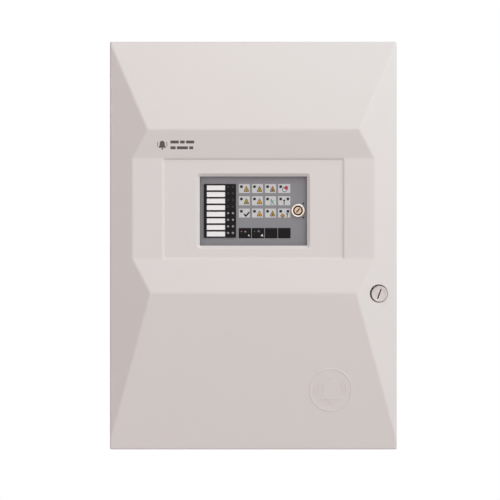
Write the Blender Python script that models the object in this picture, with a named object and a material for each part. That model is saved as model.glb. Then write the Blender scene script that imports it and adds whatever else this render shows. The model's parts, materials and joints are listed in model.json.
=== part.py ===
"""Fire alarm control panel: wall box, faceted door, control module, power supply, batteries.

Metres, +Z up. The origin is the centre of the wall face. X runs to the right and the door
faces -Y, so a place nearer to the user has a smaller Y.
"""

import math

import bmesh
import bpy
from mathutils import Vector

MM = 0.001
FIT = 0.3 * MM  # gap left between pieces that touch
RUN = 0.4 * MM  # gap left around pieces that move

# Enclosure
WIDTH = 287 * MM
HEIGHT = 408 * MM
BOX_DEPTH = 78 * MM
BOX_WALL = 3 * MM
KEYHOLE_INSET = 34 * MM
KEYHOLE_LEVELS = (26 * MM, 168 * MM)  # below the top inside, above the bottom inside
KEYHOLE_RADIUS = 4.5 * MM
KEYHOLE_NECK = (4.6 * MM, 11 * MM)  # width and length
CABLE_SLOT = (76 * MM, 24 * MM)
CABLE_SLOT_DROP = 20 * MM
SEAM = 0.4 * MM  # between the box's rim and the door's rim
SKIRT = 10 * MM  # straight sides of the door, before its facets begin
SKIRT_WALL = 2.6 * MM
DOOR_WALL = 3.2 * MM

# Facets of the door's front
SIDE_SLOPE = 0.5  # rise of the side facets for each unit in from the side edge
TOP_RIDGE_DROP = 87.9 * MM
TOP_RIDGE_INSET = 37.9 * MM
BAND_DROP = 116.4 * MM
BAND_HEIGHT = 100.5 * MM
BAND_INSET = 22.6 * MM
LOW_RIDGE_DROP = 34.5 * MM  # below the flat band
LOW_RIDGE_INSET = 40.75 * MM
HIP_FOOT = 8.6 * MM  # where the lower hips meet the side edges, above the bottom edge

# Window in the flat band
RECESS_WIDTH = 181.6 * MM
RECESS_HEIGHT = 101.2 * MM
RECESS_Z = 36.85 * MM
RECESS_DEPTH = 1.8 * MM
WINDOW_WIDTH = 107.2 * MM
WINDOW_HEIGHT = 69.1 * MM
WINDOW_DROP = 134.9 * MM
WINDOW_WALL = 3.0 * MM  # also the width of the 45 degree bevel around the opening

# Hinge
HINGE_RADIUS = 3.5 * MM
PIN_RADIUS = 1.5 * MM
EAR_LENGTH = 14 * MM
EAR_THICKNESS = 4 * MM
EAR_REACH = 8 * MM
KNUCKLE_LENGTH = 10 * MM
HINGE_DROP = 54 * MM
HINGE_NOTCH = 2.1 * MM  # cut in the door around each ear
EAR_ROUND = 0.2 * MM  # the ears are smaller than the knuckles by this
RIM_CHAMFER = 1.5 * MM

# Door lock
LOCK_INSET = 17.6 * MM
LOCK_DROP = 35.4 * MM  # below the flat band
LOCK_HOLE = 9.1 * MM
LOCK_HEAD = 8.0 * MM
LOCK_HEAD_DEPTH = 3.5 * MM
LOCK_HEAD_CHAMFER = 0.6 * MM
LOCK_BARREL = 5.6 * MM
LOCK_FLANGE = 1.1 * MM
LOCK_FLANGE_RADIUS = 8.6 * MM
LOCK_WEB = 2.5 * MM
LOCK_NUT_WALL = 2.6 * MM  # from the barrel to the nut's corners
LOCK_NUT_DEPTH = 3.6 * MM
LOCK_BARREL_TAIL = 1.2 * MM  # beyond the nut
LOCK_SHAFT = 4.0 * MM
LOCK_WELL_WALL = 2.4 * MM
LOCK_SLOT = (10.4 * MM, 1.3 * MM, 1.4 * MM)
LOCK_SLOT_TILT = 70  # degrees up from level
CAM_CATCH = 2.4 * MM  # overlap of the turned cam and the strike's lip
CAM_HUB = 5.4 * MM
CAM_WIDTH = 8 * MM
CAM_SHEET = 2 * MM
CAM_SQUARE = 5 * MM
CAM_CHAMFER = 1 * MM
CAM_SCREW_HEAD = 4.2 * MM
CAM_SCREW_SHANK = 1.4 * MM
CAM_SCREW_LENGTH = 7 * MM
CAM_SCREW_EDGE = 1.0 * MM
CAM_SCREW_TOP = 1.7 * MM
CAM_SCREW_ROUND = 0.7 * MM
STRIKE_SHEET = 1.5 * MM
STRIKE_CLEARANCE = 0.5 * MM  # from the nut's corners to the lip
STRIKE_HEIGHT = 10 * MM
STRIKE_LENGTH = 22 * MM  # behind the box's rim

# Control module behind the window
FASCIA_SETBACK = 3.4 * MM
FASCIA_SHEET = 2.0 * MM
FASCIA_MARGIN = 9 * MM  # beyond the window on every side
POST_RADIUS = 3.2 * MM
POST_INSET = 4.6 * MM
POST_LENGTH = 6.7 * MM
SCREW_RADIUS = 1.3 * MM
SCREW_HEAD = 2.6 * MM
SCREW_HEAD_HEIGHT = 1.5 * MM
SCREW_ROUND = 0.6 * MM
PCB = 1.6 * MM
RIBBON_X = -8 * MM
RIBBON_WIDTH = 20 * MM
RIBBON_RISE = 22 * MM  # above the middle of the window
RIBBON_DROP = 14 * MM
RIBBON_THICKNESS = 1.2 * MM
RIBBON_PLUG = (8 * MM, 6 * MM)  # depth and height of the connector on each end

# Keys, places from the centre of the window
KEY_COUNT = 4
KEY_WIDTH = 11.8 * MM
KEY_HEIGHT = 9.6 * MM
KEY_SPACE = 1.33 * MM
KEY_FIRST = -8.45 * MM
KEY_LEVEL = -22.05 * MM
KEY_PROUD = 1.0 * MM
KEY_FLANGE = 1.0 * MM
KEY_FLANGE_LIP = 1.2 * MM  # above and below the cap
KEY_TRAVEL = 0.9 * MM
KEY_CHAMFER = 0.5 * MM
KEY_STEM = 2.4 * MM  # square
SWITCH_SIDE = 6.2 * MM
SWITCH_DEPTH = 3.5 * MM
SWITCH_FLOOR = 0.6 * MM

# Zone display
ZONES = 8
ZONE_PITCH = 6.6 * MM
ZONE_FIRST = 23.3 * MM
ZONE_LIGHTS = (-25.3 * MM, -20.5 * MM)
ZONE_LIGHT_RISE = 1.0 * MM  # above the labels' middles
MASK_LEFT = -49.5 * MM
MASK_WIDTH = 32.1 * MM
MASK_HEIGHT = 53.7 * MM
MASK_SHEET = 0.8 * MM
LABEL_WIDTH = 18.3 * MM
LABEL_HEIGHT = 5.0 * MM
LABEL_LEFT = -46.6 * MM
CARD = 0.5 * MM
CARD_MARGIN = 1.2 * MM  # beside the labels
CARD_HEIGHT = 52 * MM
LIGHT_RADIUS = 1.0 * MM
LIGHT_BAR = 1.4 * MM
LIGHT_BAR_MARGIN = 1.6 * MM

# Status lights: a row of one light to a tile, and a second light in the last tile
STATUS_FIRST = -12.0 * MM
STATUS_PITCH = 13.1 * MM
STATUS_EXTRA = 34.5 * MM
STATUS_TOP = 24.4 * MM
STATUS_ROW_PITCH = 12.3 * MM

# Key switch
KEYLOCK_X = 44.6 * MM
KEYLOCK_Z = 0.55 * MM
KEYLOCK_RING = 6.8 * MM
KEYLOCK_BODY = 5.6 * MM
KEYLOCK_BORE = 4.4 * MM
KEYLOCK_MOUTH = 5.4 * MM
KEYLOCK_PROUD = 2.2 * MM
KEYLOCK_CHAMFER = (0.5 * MM, 0.6 * MM)
KEYLOCK_MOUTH_DEPTH = 1.6 * MM
ROTOR_SETBACK = 0.8 * MM
KEYLOCK_LENGTH = 15 * MM
KEYLOCK_TAIL = 1.2 * MM
KEYLOCK_NUT = 7.6 * MM
KEYLOCK_NUT_DEPTH = 2.4 * MM
KEYWAY = (4.2 * MM, 1.1 * MM, 4 * MM)
KEYWAY_TILT = 50  # degrees up from level

# Chassis and main circuit board
CHASSIS_SHEET = 1.5 * MM
CHASSIS_WIDTH = 144 * MM
CHASSIS_FOOT = 12 * MM
RIBBON_HOLE = (28 * MM, 16 * MM)
MODULE_DEPTH = 6.5 * MM  # from the display board's back to the chassis
MAIN_WIDTH = 132 * MM
MAIN_HEIGHT = 172 * MM
MAIN_DROP = 56 * MM
BOSS_HEIGHT = 7 * MM
BOSS_RADIUS = 4 * MM
BOSS_INSET = 6 * MM
BOSS_HOLE = 1.6 * MM
TERMINALS = {"zone": (-25 * MM, 60 * MM), "output": (34 * MM, 46 * MM)}  # centre and width
TERMINAL_DROP = 8 * MM
TERMINAL_PROFILE = ((0, -5), (8, -5), (12, -1.5), (12, 3.5), (9, 5), (0, 5))  # mm off the board, mm up
TERMINAL_PITCH = 5.08 * MM
TERMINAL_ENTRY = (3.2 * MM, 4 * MM, 4 * MM)  # width, height off the board, depth
TERMINAL_ENTRY_LIFT = 2.5 * MM
RELAY = (19 * MM, 15 * MM, 15.5 * MM)
RELAY_PLACES = (-48 * MM, -22 * MM)
RELAY_DROP = 32 * MM
HEAT_SINK = (26 * MM, 22 * MM, 20 * MM)
HEAT_SINK_X = 8 * MM
HEAT_SINK_FINS = 6
HEAT_SINK_BASE = 3 * MM
FIN_SHARE = 0.45
SECOND_ROW_DROP = 34 * MM
CAPACITOR_X = 48 * MM
CAPACITOR = (9 * MM, 30 * MM, 0.6 * MM)  # radius, height, rounding
CHIP = (14 * MM, 1.6 * MM, 14 * MM)
CHIP_PLACE = (24 * MM, -30 * MM)  # from the middle of the window
SOUNDER = (8 * MM, 9 * MM)
SOUNDER_PLACE = (-44 * MM, 10 * MM)
SOUNDER_PORT = (1.2 * MM, 3 * MM)

# Batteries and transformer
BATTERY = (94 * MM, 65 * MM, 151 * MM)
BATTERY_SPACE = 2 * MM
LEAD_RADIUS = 1.1 * MM
LEAD_FEET = {"positive": -40 * MM, "negative": 40 * MM}  # where they are soldered to the main board
LEAD_FOOT_RISE = 26 * MM  # above the board's lower edge
LEAD_STUB = 9 * MM  # straight end at the board
LEAD_BOW = 30 * MM  # furthest off the board
LEAD_RISE = (3 * MM, 8 * MM, 11 * MM, 14 * MM)  # of the first bends above the terminals
STRAP_SHEET = 1.5 * MM
STRAP_HEIGHT = 20 * MM
STRAP_RISE = 108 * MM
STRAP_FOOT = 14 * MM
BATTERY_PLAY = 2.5 * MM  # beside the first battery
BATTERY_LID = 14 * MM  # from the joint of lid and case up to the terminals
LID_GROOVE = 0.8 * MM
TAB_WELL = 3 * MM  # from the terminals' feet to the battery's top
TAB_INSET = 12 * MM
TRANSFORMER_CORE = (48 * MM, 20 * MM, 40 * MM)
TRANSFORMER_LEG = 14 * MM
TRANSFORMER_LIMB = 7 * MM
TRANSFORMER_LEVEL = -12 * MM  # from the middle of the window, as for the next two
MAINS_LEVEL = 72 * MM
FUSE_LEVEL = 46 * MM
COIL_REACH = 2 * MM  # of the coil's opening beyond its ends
MAINS_BLOCK = (40 * MM, 17 * MM, 16 * MM)
MAINS_WELL = (8 * MM, 9 * MM, 11 * MM)
MAINS_PITCH = 12 * MM
FUSE_CRADLE = (34 * MM, 6 * MM, 12 * MM)
FUSE_TUBE = (30 * MM, 4.5 * MM, 9 * MM)  # length, radius, height of its axis
WINDING_DEPTH = 40 * MM
GROMMET_HOLE = 10 * MM
GROMMET_LIP = 2 * MM
GROMMET_TAPER = 1.6 * MM
GROMMET_CROWN = (1.0 * MM, 1.5 * MM)  # its middle and its edge, below the box's top
GROMMET_SOLE = (3 * MM, 2 * MM)  # thickness inside the box, in the middle and at the edge
GROMMET_PLACES = (-96 * MM, -54 * MM, 96 * MM)
GROMMET_SETBACK = 36 * MM
POWER_MARGIN = 4 * MM  # from the right wall to the transformer
TAB = (4.8 * MM, 0.8 * MM, 6 * MM)
TAB_SETBACK = 12 * MM


def rgb(red, green, blue):
    """Linear colour from an ordinary 0-255 one."""
    return [((c / 255 + 0.055) / 1.055) ** 2.4 for c in (red, green, blue)] + [1]


def finish(name, colour, roughness=0.5, metallic=0.0):
    """Principled material in a part's own colour."""
    material = bpy.data.materials.new(name)
    material.use_nodes = True
    shader = material.node_tree.nodes["Principled BSDF"]
    shader.inputs["Base Color"].default_value = rgb(*colour)
    shader.inputs["Roughness"].default_value = roughness
    shader.inputs["Metallic"].default_value = metallic
    return material


def arc(centre, radius, first, last, steps):
    """Points of an arc, from one angle in degrees to another."""
    angles = (math.radians(first + (last - first) * i / steps) for i in range(steps + 1))
    return [(centre[0] + radius * math.cos(a), centre[1] + radius * math.sin(a)) for a in angles]


def circle(centre, radius, sides=24):
    """Corners of a regular polygon, as an outline."""
    return arc(centre, radius, 0, 360 * (sides - 1) / sides, sides - 1)


def rectangle(x, z, y):
    """Four corners at depth y."""
    return [(x[0], y, z[0]), (x[1], y, z[0]), (x[1], y, z[1]), (x[0], y, z[1])]


def about(centre, size):
    """Lowest and highest value of a span around a centre."""
    return centre - size / 2, centre + size / 2


def grown(span, margin):
    """A span made longer at both ends."""
    return span[0] - margin, span[1] + margin


def turned_slot(centre, size, tilt):
    """Outline of a narrow slot through a centre, tilted by some degrees."""
    cos, sin = math.cos(math.radians(tilt)), math.sin(math.radians(tilt))
    corners = ((-1, -1), (1, -1), (1, 1), (-1, 1))
    halves = [(a * size[0] / 2, b * size[1] / 2) for a, b in corners]
    return [(centre[0] + a * cos - b * sin, centre[1] + a * sin + b * cos) for a, b in halves]


PLANES = {
    "x": lambda a, b, t: (t, a, b),
    "y": lambda a, b, t: (a, t, b),
    "z": lambda a, b, t: (a, b, t),
}


class Solid:
    """One or more closed shapes in a mesh, drawn in the panel's frame."""

    def __init__(self):
        self.bm = bmesh.new()

    def face(self, *points):
        self.bm.faces.new([self.bm.verts.new(p) for p in points])

    def skin(self, loops, closed=False):
        """Join loops of points in order, and cap the two ends unless the last meets the first."""
        rings = [[self.bm.verts.new(p) for p in loop] for loop in loops]
        pairs = list(zip(rings, rings[1:]))
        if closed:
            pairs.append((rings[-1], rings[0]))
        else:
            self.bm.faces.new(rings[0])
            self.bm.faces.new(reversed(rings[-1]))
        for a, b in pairs:
            for i in range(len(a)):
                self.bm.faces.new((a[i - 1], a[i], b[i], b[i - 1]))
        return self

    def prism(self, outline, span, axis="y"):
        """Extrude an outline along an axis. Its points are the other two coordinates, in order."""
        return self.skin([[PLANES[axis](a, b, t) for a, b in outline] for t in span])

    def box(self, x, y, z):
        return self.skin([rectangle(x, z, y[0]), rectangle(x, z, y[1])])

    def rod(self, centre, radius, span, axis="y", sides=24):
        return self.prism(circle(centre, radius, sides), span, axis)

    def turned(self, centre, profile, axis="y", sides=24, closed=False):
        """Solid of revolution from (radius, place along the axis) steps. Closed makes a ring."""
        loops = [[PLANES[axis](a, b, t) for a, b in circle(centre, r, sides)] for r, t in profile]
        return self.skin(loops, closed)

    def mesh(self, name, origin):
        """The finished mesh, measured from its own origin."""
        bmesh.ops.remove_doubles(self.bm, verts=self.bm.verts, dist=1e-7)
        bmesh.ops.recalc_face_normals(self.bm, faces=self.bm.faces)
        bmesh.ops.translate(self.bm, verts=self.bm.verts, vec=-Vector(origin))
        mesh = bpy.data.meshes.new(name)
        self.bm.to_mesh(mesh)
        self.bm.free()
        return mesh


def hang(thing, origin, parent):
    """Put an object at a place in the panel's frame, under its parent."""
    thing.location = Vector(origin)
    if parent:
        thing.parent = parent
        thing.location = Vector(origin) - parent.matrix_world.translation
    bpy.context.scene.collection.objects.link(thing)
    bpy.context.view_layer.update()
    return thing


def pivot(name, origin, parent=None):
    """Empty on a joint's axis."""
    return hang(bpy.data.objects.new(name, None), origin, parent)


def part(name, solid, material, steps=(), parent=None, origin=(0, 0, 0), smooth=False):
    """A named piece: a solid, and the solids joined to it or cut from it in turn."""
    if parent:
        origin = parent.matrix_world.translation.copy()
    thing = hang(bpy.data.objects.new(name, solid.mesh(name, origin)), origin, parent)
    thing.data.materials.append(material)
    if smooth:
        thing.data.shade_smooth()
        thing.data.set_sharp_from_angle(angle=math.radians(35))
    for number, (operation, shape) in enumerate(steps):
        label = f"{name}_step_{number}"
        tool = hang(bpy.data.objects.new(label, shape.mesh(label, origin)), origin, parent)
        tool.hide_render = True
        tool.display_type = "WIRE"
        boolean = thing.modifiers.new(label, "BOOLEAN")
        boolean.operation = operation
        boolean.object = tool
        boolean.solver = "EXACT"
    return thing


def lead(name, route, material):
    """Insulated wire along a smooth curve through a route's points."""
    points = []
    for i in range(len(route) - 1):
        a, b, c, d = (Vector(route[min(max(i + k, 0), len(route) - 1)]) for k in (-1, 0, 1, 2))
        for t in (0, 0.25, 0.5, 0.75):
            bend = (2 * a - 5 * b + 4 * c - d) * t**2 + (3 * b - a - 3 * c + d) * t**3
            points.append(0.5 * (2 * b + (c - a) * t + bend))
    points.append(Vector(route[-1]))
    curve = bpy.data.curves.new(name, "CURVE")
    curve.dimensions = "3D"
    curve.bevel_depth = LEAD_RADIUS
    curve.bevel_resolution = 2
    curve.use_fill_caps = True
    spline = curve.splines.new("POLY")
    spline.points.add(len(points) - 1)
    for place, point in zip(spline.points, points):
        place.co = (*point, 1)
    curve.materials.append(material)
    return hang(bpy.data.objects.new(name, curve), (0, 0, 0), None)


# Places that follow from the sizes
LEFT, RIGHT, TOP, BOTTOM = -WIDTH / 2, WIDTH / 2, HEIGHT / 2, -HEIGHT / 2
INNER_LEFT, INNER_RIGHT = LEFT + BOX_WALL, RIGHT - BOX_WALL
INNER_TOP, INNER_BOTTOM, INNER_BACK = TOP - BOX_WALL, BOTTOM + BOX_WALL, -BOX_WALL
SEAT_Y = INNER_BACK - FIT  # what stands on the back wall starts here
RIM_Y = -BOX_DEPTH
DOOR_REAR = RIM_Y - SEAM
FACET_Y = DOOR_REAR - SKIRT
BAND_TOP = TOP - BAND_DROP
BAND_BOTTOM = BAND_TOP - BAND_HEIGHT
BAND_Y = FACET_Y - SIDE_SLOPE * BAND_INSET
RECESS_Y = BAND_Y + RECESS_DEPTH
WINDOW_REAR = RECESS_Y + WINDOW_WALL
WINDOW_Z = TOP - WINDOW_DROP - WINDOW_HEIGHT / 2
FASCIA_Y = WINDOW_REAR + FASCIA_SETBACK
FASCIA_BACK = FASCIA_Y + FASCIA_SHEET
FASCIA_SPAN_X = about(0, WINDOW_WIDTH + 2 * FASCIA_MARGIN)
FASCIA_SPAN_Z = about(WINDOW_Z, WINDOW_HEIGHT + 2 * FASCIA_MARGIN)
BEHIND_FASCIA = FASCIA_BACK + FIT
MASK_REAR = FASCIA_Y - FIT
DISPLAY_Y = FASCIA_BACK + POST_LENGTH + FIT
DISPLAY_BACK = DISPLAY_Y + PCB
CHASSIS_Y = DISPLAY_BACK + MODULE_DEPTH
RIBBON_Z = WINDOW_Z + RIBBON_RISE
KEY_Z = WINDOW_Z + KEY_LEVEL
KEYLOCK = (KEYLOCK_X, WINDOW_Z + KEYLOCK_Z)
KEYLOCK_FRONT = FASCIA_Y - KEYLOCK_PROUD
KEYLOCK_END = FASCIA_Y + KEYLOCK_LENGTH
HINGE = (LEFT + HINGE_RADIUS, DOOR_REAR - HINGE_RADIUS)
HINGE_LEVELS = {"upper": TOP - HINGE_DROP, "lower": BOTTOM + HINGE_DROP}
LOCK = (RIGHT - LOCK_INSET, BAND_BOTTOM - LOCK_DROP)
LOCK_FACE = FACET_Y - SIDE_SLOPE * LOCK_INSET
LOCK_FLANGE_Y = LOCK_FACE + LOCK_HEAD_DEPTH + FIT
LOCK_WEB_Y = LOCK_FLANGE_Y + LOCK_FLANGE + FIT
LOCK_WEB_BACK = LOCK_WEB_Y + LOCK_WEB
LOCK_NUT_Y = LOCK_WEB_BACK + FIT
LOCK_END = LOCK_NUT_Y + LOCK_NUT_DEPTH + LOCK_BARREL_TAIL
LOCK_NUT = LOCK_BARREL + LOCK_NUT_WALL
STRIKE_TIP = LOCK[0] + LOCK_NUT + STRIKE_CLEARANCE
CAM_REACH = STRIKE_TIP + CAM_CATCH - LOCK[0]
CAM_Y = LOCK_END + RUN
CAM_BACK = CAM_Y + CAM_SHEET
STRIKE_Y = CAM_Y - RUN - STRIKE_SHEET
MAIN_TOP = TOP - MAIN_DROP
MAIN_BOTTOM = MAIN_TOP - MAIN_HEIGHT
MAIN_BACK = INNER_BACK - BOSS_HEIGHT - FIT
ON_MAIN = MAIN_BACK - PCB - FIT  # what is soldered to the main board starts here
BATTERY_FRONT = SEAT_Y - BATTERY[1]
BATTERY_SPAN_Z = (INNER_BOTTOM + FIT, INNER_BOTTOM + FIT + BATTERY[2])
BATTERY_LEFT = INNER_LEFT + BATTERY_PLAY
BATTERY_PLACES = (BATTERY_LEFT, BATTERY_LEFT + BATTERY[0] + BATTERY_SPACE)
BATTERY_RIGHT = BATTERY_PLACES[1] + BATTERY[0]
POWER_X = INNER_RIGHT - POWER_MARGIN - TRANSFORMER_CORE[0] / 2


def faceted(inset, shift, rear):
    """The door's form: seven plane facets over straight sides. It is drawn in by inset all round
    and moved back by shift, with the facets' planes kept.
    """
    ridge_z, low_ridge_z, foot_z = TOP - TOP_RIDGE_DROP, BAND_BOTTOM - LOW_RIDGE_DROP, BOTTOM + HIP_FOOT
    top_slope = SIDE_SLOPE * TOP_RIDGE_INSET / TOP_RIDGE_DROP
    low_slope = SIDE_SLOPE * LOW_RIDGE_INSET / (low_ridge_z - foot_z)
    side_rise = SIDE_SLOPE * inset

    def row(distance, z, rise):
        y = FACET_Y + shift - rise
        return (LEFT + distance, y, z), (RIGHT - distance, y, z)

    top = row(inset, TOP - inset, top_slope * inset)
    hip = row(inset, TOP - inset * TOP_RIDGE_DROP / TOP_RIDGE_INSET, side_rise)
    ridge = row(TOP_RIDGE_INSET, ridge_z, SIDE_SLOPE * TOP_RIDGE_INSET)
    band_top = row(BAND_INSET, BAND_TOP, SIDE_SLOPE * BAND_INSET)
    band_bottom = row(BAND_INSET, BAND_BOTTOM, SIDE_SLOPE * BAND_INSET)
    low_ridge = row(LOW_RIDGE_INSET, low_ridge_z, SIDE_SLOPE * LOW_RIDGE_INSET)
    foot = row(inset, foot_z + (low_ridge_z - foot_z) * inset / LOW_RIDGE_INSET, side_rise)
    bottom = row(inset, BOTTOM + inset, low_slope * (inset - HIP_FOOT))
    back = [((LEFT + inset, rear, z), (RIGHT - inset, rear, z)) for z in (TOP - inset, BOTTOM + inset)]
    solid = Solid()
    if inset:
        solid.face(top[0], top[1], hip[1], ridge[1], ridge[0], hip[0])
    else:
        solid.face(top[0], top[1], ridge[1], ridge[0])
    for a, b in ((ridge, band_top), (band_top, band_bottom), (band_bottom, low_ridge)):
        solid.face(a[0], a[1], b[1], b[0])
    solid.face(low_ridge[0], low_ridge[1], foot[1], bottom[1], bottom[0], foot[0])
    for side in (0, 1):
        corners = [back[0][side], top[side], foot[side], bottom[side], back[1][side]]
        if inset:
            corners.insert(2, hip[side])
        solid.face(*corners)
        solid.face(*(pair[side] for pair in (hip, ridge, band_top, band_bottom, low_ridge, foot)))
    solid.face(*back[0], top[1], top[0])
    solid.face(*back[1], bottom[1], bottom[0])
    solid.face(*back[0], back[1][1], back[1][0])
    return solid


def hinge_spans(level):
    """Heights of a box ear, and of the door knuckles below and above it."""
    ear = about(level, EAR_LENGTH)
    low = (ear[0] - RUN - KNUCKLE_LENGTH, ear[0] - RUN)
    high = (ear[1] + RUN, ear[1] + RUN + KNUCKLE_LENGTH)
    return ear, low, high


def main_corners():
    """Places of the main board's four fixings."""
    heights = grown((MAIN_BOTTOM, MAIN_TOP), -BOSS_INSET)
    return [(x, z) for x in about(0, MAIN_WIDTH - 2 * BOSS_INSET) for z in heights]


def module_corners():
    """Places of the four screws that hold the fascia and the display board to the chassis."""
    return [(x, z) for x in grown(FASCIA_SPAN_X, -POST_INSET) for z in grown(FASCIA_SPAN_Z, -POST_INSET)]


def back_box(material):
    """Moulded wall box with hinge ears, board bosses, cable holes and wall fixings."""
    shell = Solid().box((LEFT, RIGHT), (RIM_Y, 0), (BOTTOM, TOP))
    inside = (INNER_LEFT, INNER_RIGHT), (RIM_Y - MM, INNER_BACK), (INNER_BOTTOM, INNER_TOP)
    reach = RIM_CHAMFER + MM
    corner = [(LEFT - MM, RIM_Y - MM), (LEFT + reach, RIM_Y - MM), (LEFT - MM, RIM_Y + reach)]
    bevel = Solid().prism(corner, grown((BOTTOM, TOP), MM), axis="z")
    bosses, ears, bores, holes, necks = Solid(), Solid(), Solid(), Solid(), Solid()
    for place in main_corners():
        bosses.rod(place, BOSS_RADIUS, (INNER_BACK - BOSS_HEIGHT, INNER_BACK + MM), sides=16)
    start = LEFT + RIM_CHAMFER
    for level in HINGE_LEVELS.values():
        ear = hinge_spans(level)[0]
        outline = [(start, RIM_Y + EAR_REACH), (start + EAR_THICKNESS, RIM_Y + EAR_REACH)]
        outline += arc(HINGE, HINGE_RADIUS - EAR_ROUND, 35, -215, 16)
        ears.prism(outline, ear, axis="z")
        bores.rod(HINGE, PIN_RADIUS + FIT, grown(ear, MM), axis="z", sides=16)
    through = (INNER_BACK - MM, MM)
    for x in grown((INNER_LEFT, INNER_RIGHT), -KEYHOLE_INSET):
        for z in (INNER_TOP - KEYHOLE_LEVELS[0], INNER_BOTTOM + KEYHOLE_LEVELS[1]):
            holes.rod((x, z), KEYHOLE_RADIUS, through, sides=20)
            necks.box(about(x, KEYHOLE_NECK[0]), through, (z, z + KEYHOLE_NECK[1]))
    holes.box(about(0, CABLE_SLOT[0]), through, about(INNER_TOP - CABLE_SLOT_DROP, CABLE_SLOT[1]))
    for x in GROMMET_PLACES:
        top_wall = grown((INNER_TOP, TOP), MM)
        holes.rod((x, -GROMMET_SETBACK), GROMMET_HOLE, top_wall, axis="z", sides=24)
    steps = [("DIFFERENCE", Solid().box(*inside)), ("DIFFERENCE", bevel), ("UNION", bosses)]
    steps += [("UNION", ears), ("DIFFERENCE", holes), ("DIFFERENCE", necks), ("DIFFERENCE", bores)]
    part("back_box", shell, material, steps)


def grommets(material):
    """Closed rubber grommets in the cable holes of the box's top wall."""
    groove = GROMMET_HOLE - FIT
    lip = GROMMET_HOLE + GROMMET_LIP
    for number, x in enumerate(GROMMET_PLACES, 1):
        low, high = INNER_TOP - FIT, TOP + FIT
        profile = [(groove - GROMMET_TAPER, low - GROMMET_SOLE[0]), (lip, low - GROMMET_SOLE[1])]
        profile += [(lip, low), (groove, low), (groove, high - GROMMET_CROWN[1])]
        profile.append((groove - GROMMET_TAPER, high - GROMMET_CROWN[0]))
        solid = Solid().turned((x, -GROMMET_SETBACK), profile, axis="z")
        part(f"cable_grommet_{number}", solid, material, smooth=True)


def hinge_pins(material):
    for side, level in HINGE_LEVELS.items():
        ear, low, high = hinge_spans(level)
        solid = Solid().rod(HINGE, PIN_RADIUS, (low[0], high[1]), axis="z", sides=16)
        part(f"hinge_pin_{side}", solid, material, smooth=True)


def door_cover(material, door):
    """Faceted shell with its window, hinge knuckles and lock well."""
    knuckles, bores, notches = Solid(), Solid(), Solid()
    for level in HINGE_LEVELS.values():
        ear, low, high = hinge_spans(level)
        for span in (low, high):
            outline = [(LEFT + MM, FACET_Y - MM), (HINGE[0] + HINGE_RADIUS, FACET_Y - MM)]
            outline += arc(HINGE, HINGE_RADIUS, 0, 165, 12) + [(LEFT + MM, HINGE[1])]
            knuckles.prism(outline, span, axis="z")
        bores.rod(HINGE, PIN_RADIUS + FIT, grown((low[0], high[1]), MM), axis="z", sides=16)
        notches.rod(HINGE, HINGE_RADIUS + HINGE_NOTCH, grown(ear, RUN), axis="z", sides=24)
    outside = [(LEFT - MM, HINGE[1])] + arc(HINGE, HINGE_RADIUS, 180, 90, 8)
    outside += [(HINGE[0], DOOR_REAR + MM), (LEFT - MM, DOOR_REAR + MM)]
    edge = Solid().prism(outside, grown((BOTTOM, TOP), MM), axis="z")

    well_y, web_y = (LOCK_FACE, LOCK_WEB_BACK), (LOCK_WEB_Y, LOCK_WEB_BACK)
    outer, inner = LOCK_HOLE + LOCK_WELL_WALL, LOCK_BARREL + FIT
    well = Solid().rod(LOCK, outer, (FACET_Y - SIDE_SLOPE * (LOCK_INSET - outer) + MM, LOCK_WEB_BACK))
    mouth = Solid().rod(LOCK, LOCK_HOLE, (FACET_Y - 2 * SIDE_SLOPE * LOCK_INSET, LOCK_WEB_Y))
    bore = Solid().rod(LOCK, inner, grown(web_y, MM))

    pad_x = about(0, RECESS_WIDTH + 2 * DOOR_WALL)
    pad_z = (BAND_BOTTOM - DOOR_WALL, BAND_TOP + DOOR_WALL)
    pad = Solid().box(pad_x, (BAND_Y + MM, WINDOW_REAR), pad_z)
    recess_x, recess_z = about(0, RECESS_WIDTH), about(RECESS_Z, RECESS_HEIGHT)
    window_x, window_z = about(0, WINDOW_WIDTH), about(WINDOW_Z, WINDOW_HEIGHT)
    recess = Solid().skin(
        [
            rectangle(grown(recess_x, MM), grown(recess_z, MM), BAND_Y - MM),
            rectangle(grown(recess_x, -RECESS_DEPTH), grown(recess_z, -RECESS_DEPTH), RECESS_Y),
        ]
    )
    flare = WINDOW_WALL + MM
    opening = Solid().skin(
        [
            rectangle(grown(window_x, flare), grown(window_z, flare), RECESS_Y - MM),
            rectangle(window_x, window_z, WINDOW_REAR),
            rectangle(window_x, window_z, WINDOW_REAR + MM),
        ]
    )
    steps = [("DIFFERENCE", faceted(SKIRT_WALL, DOOR_WALL, DOOR_REAR + MM)), ("UNION", pad)]
    steps += [("UNION", knuckles), ("UNION", well), ("DIFFERENCE", mouth), ("DIFFERENCE", bore)]
    steps += [("DIFFERENCE", recess), ("DIFFERENCE", opening), ("DIFFERENCE", edge)]
    steps += [("DIFFERENCE", notches), ("DIFFERENCE", bores)]
    part("door_cover", faceted(0, 0, DOOR_REAR), material, steps, door)


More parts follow.
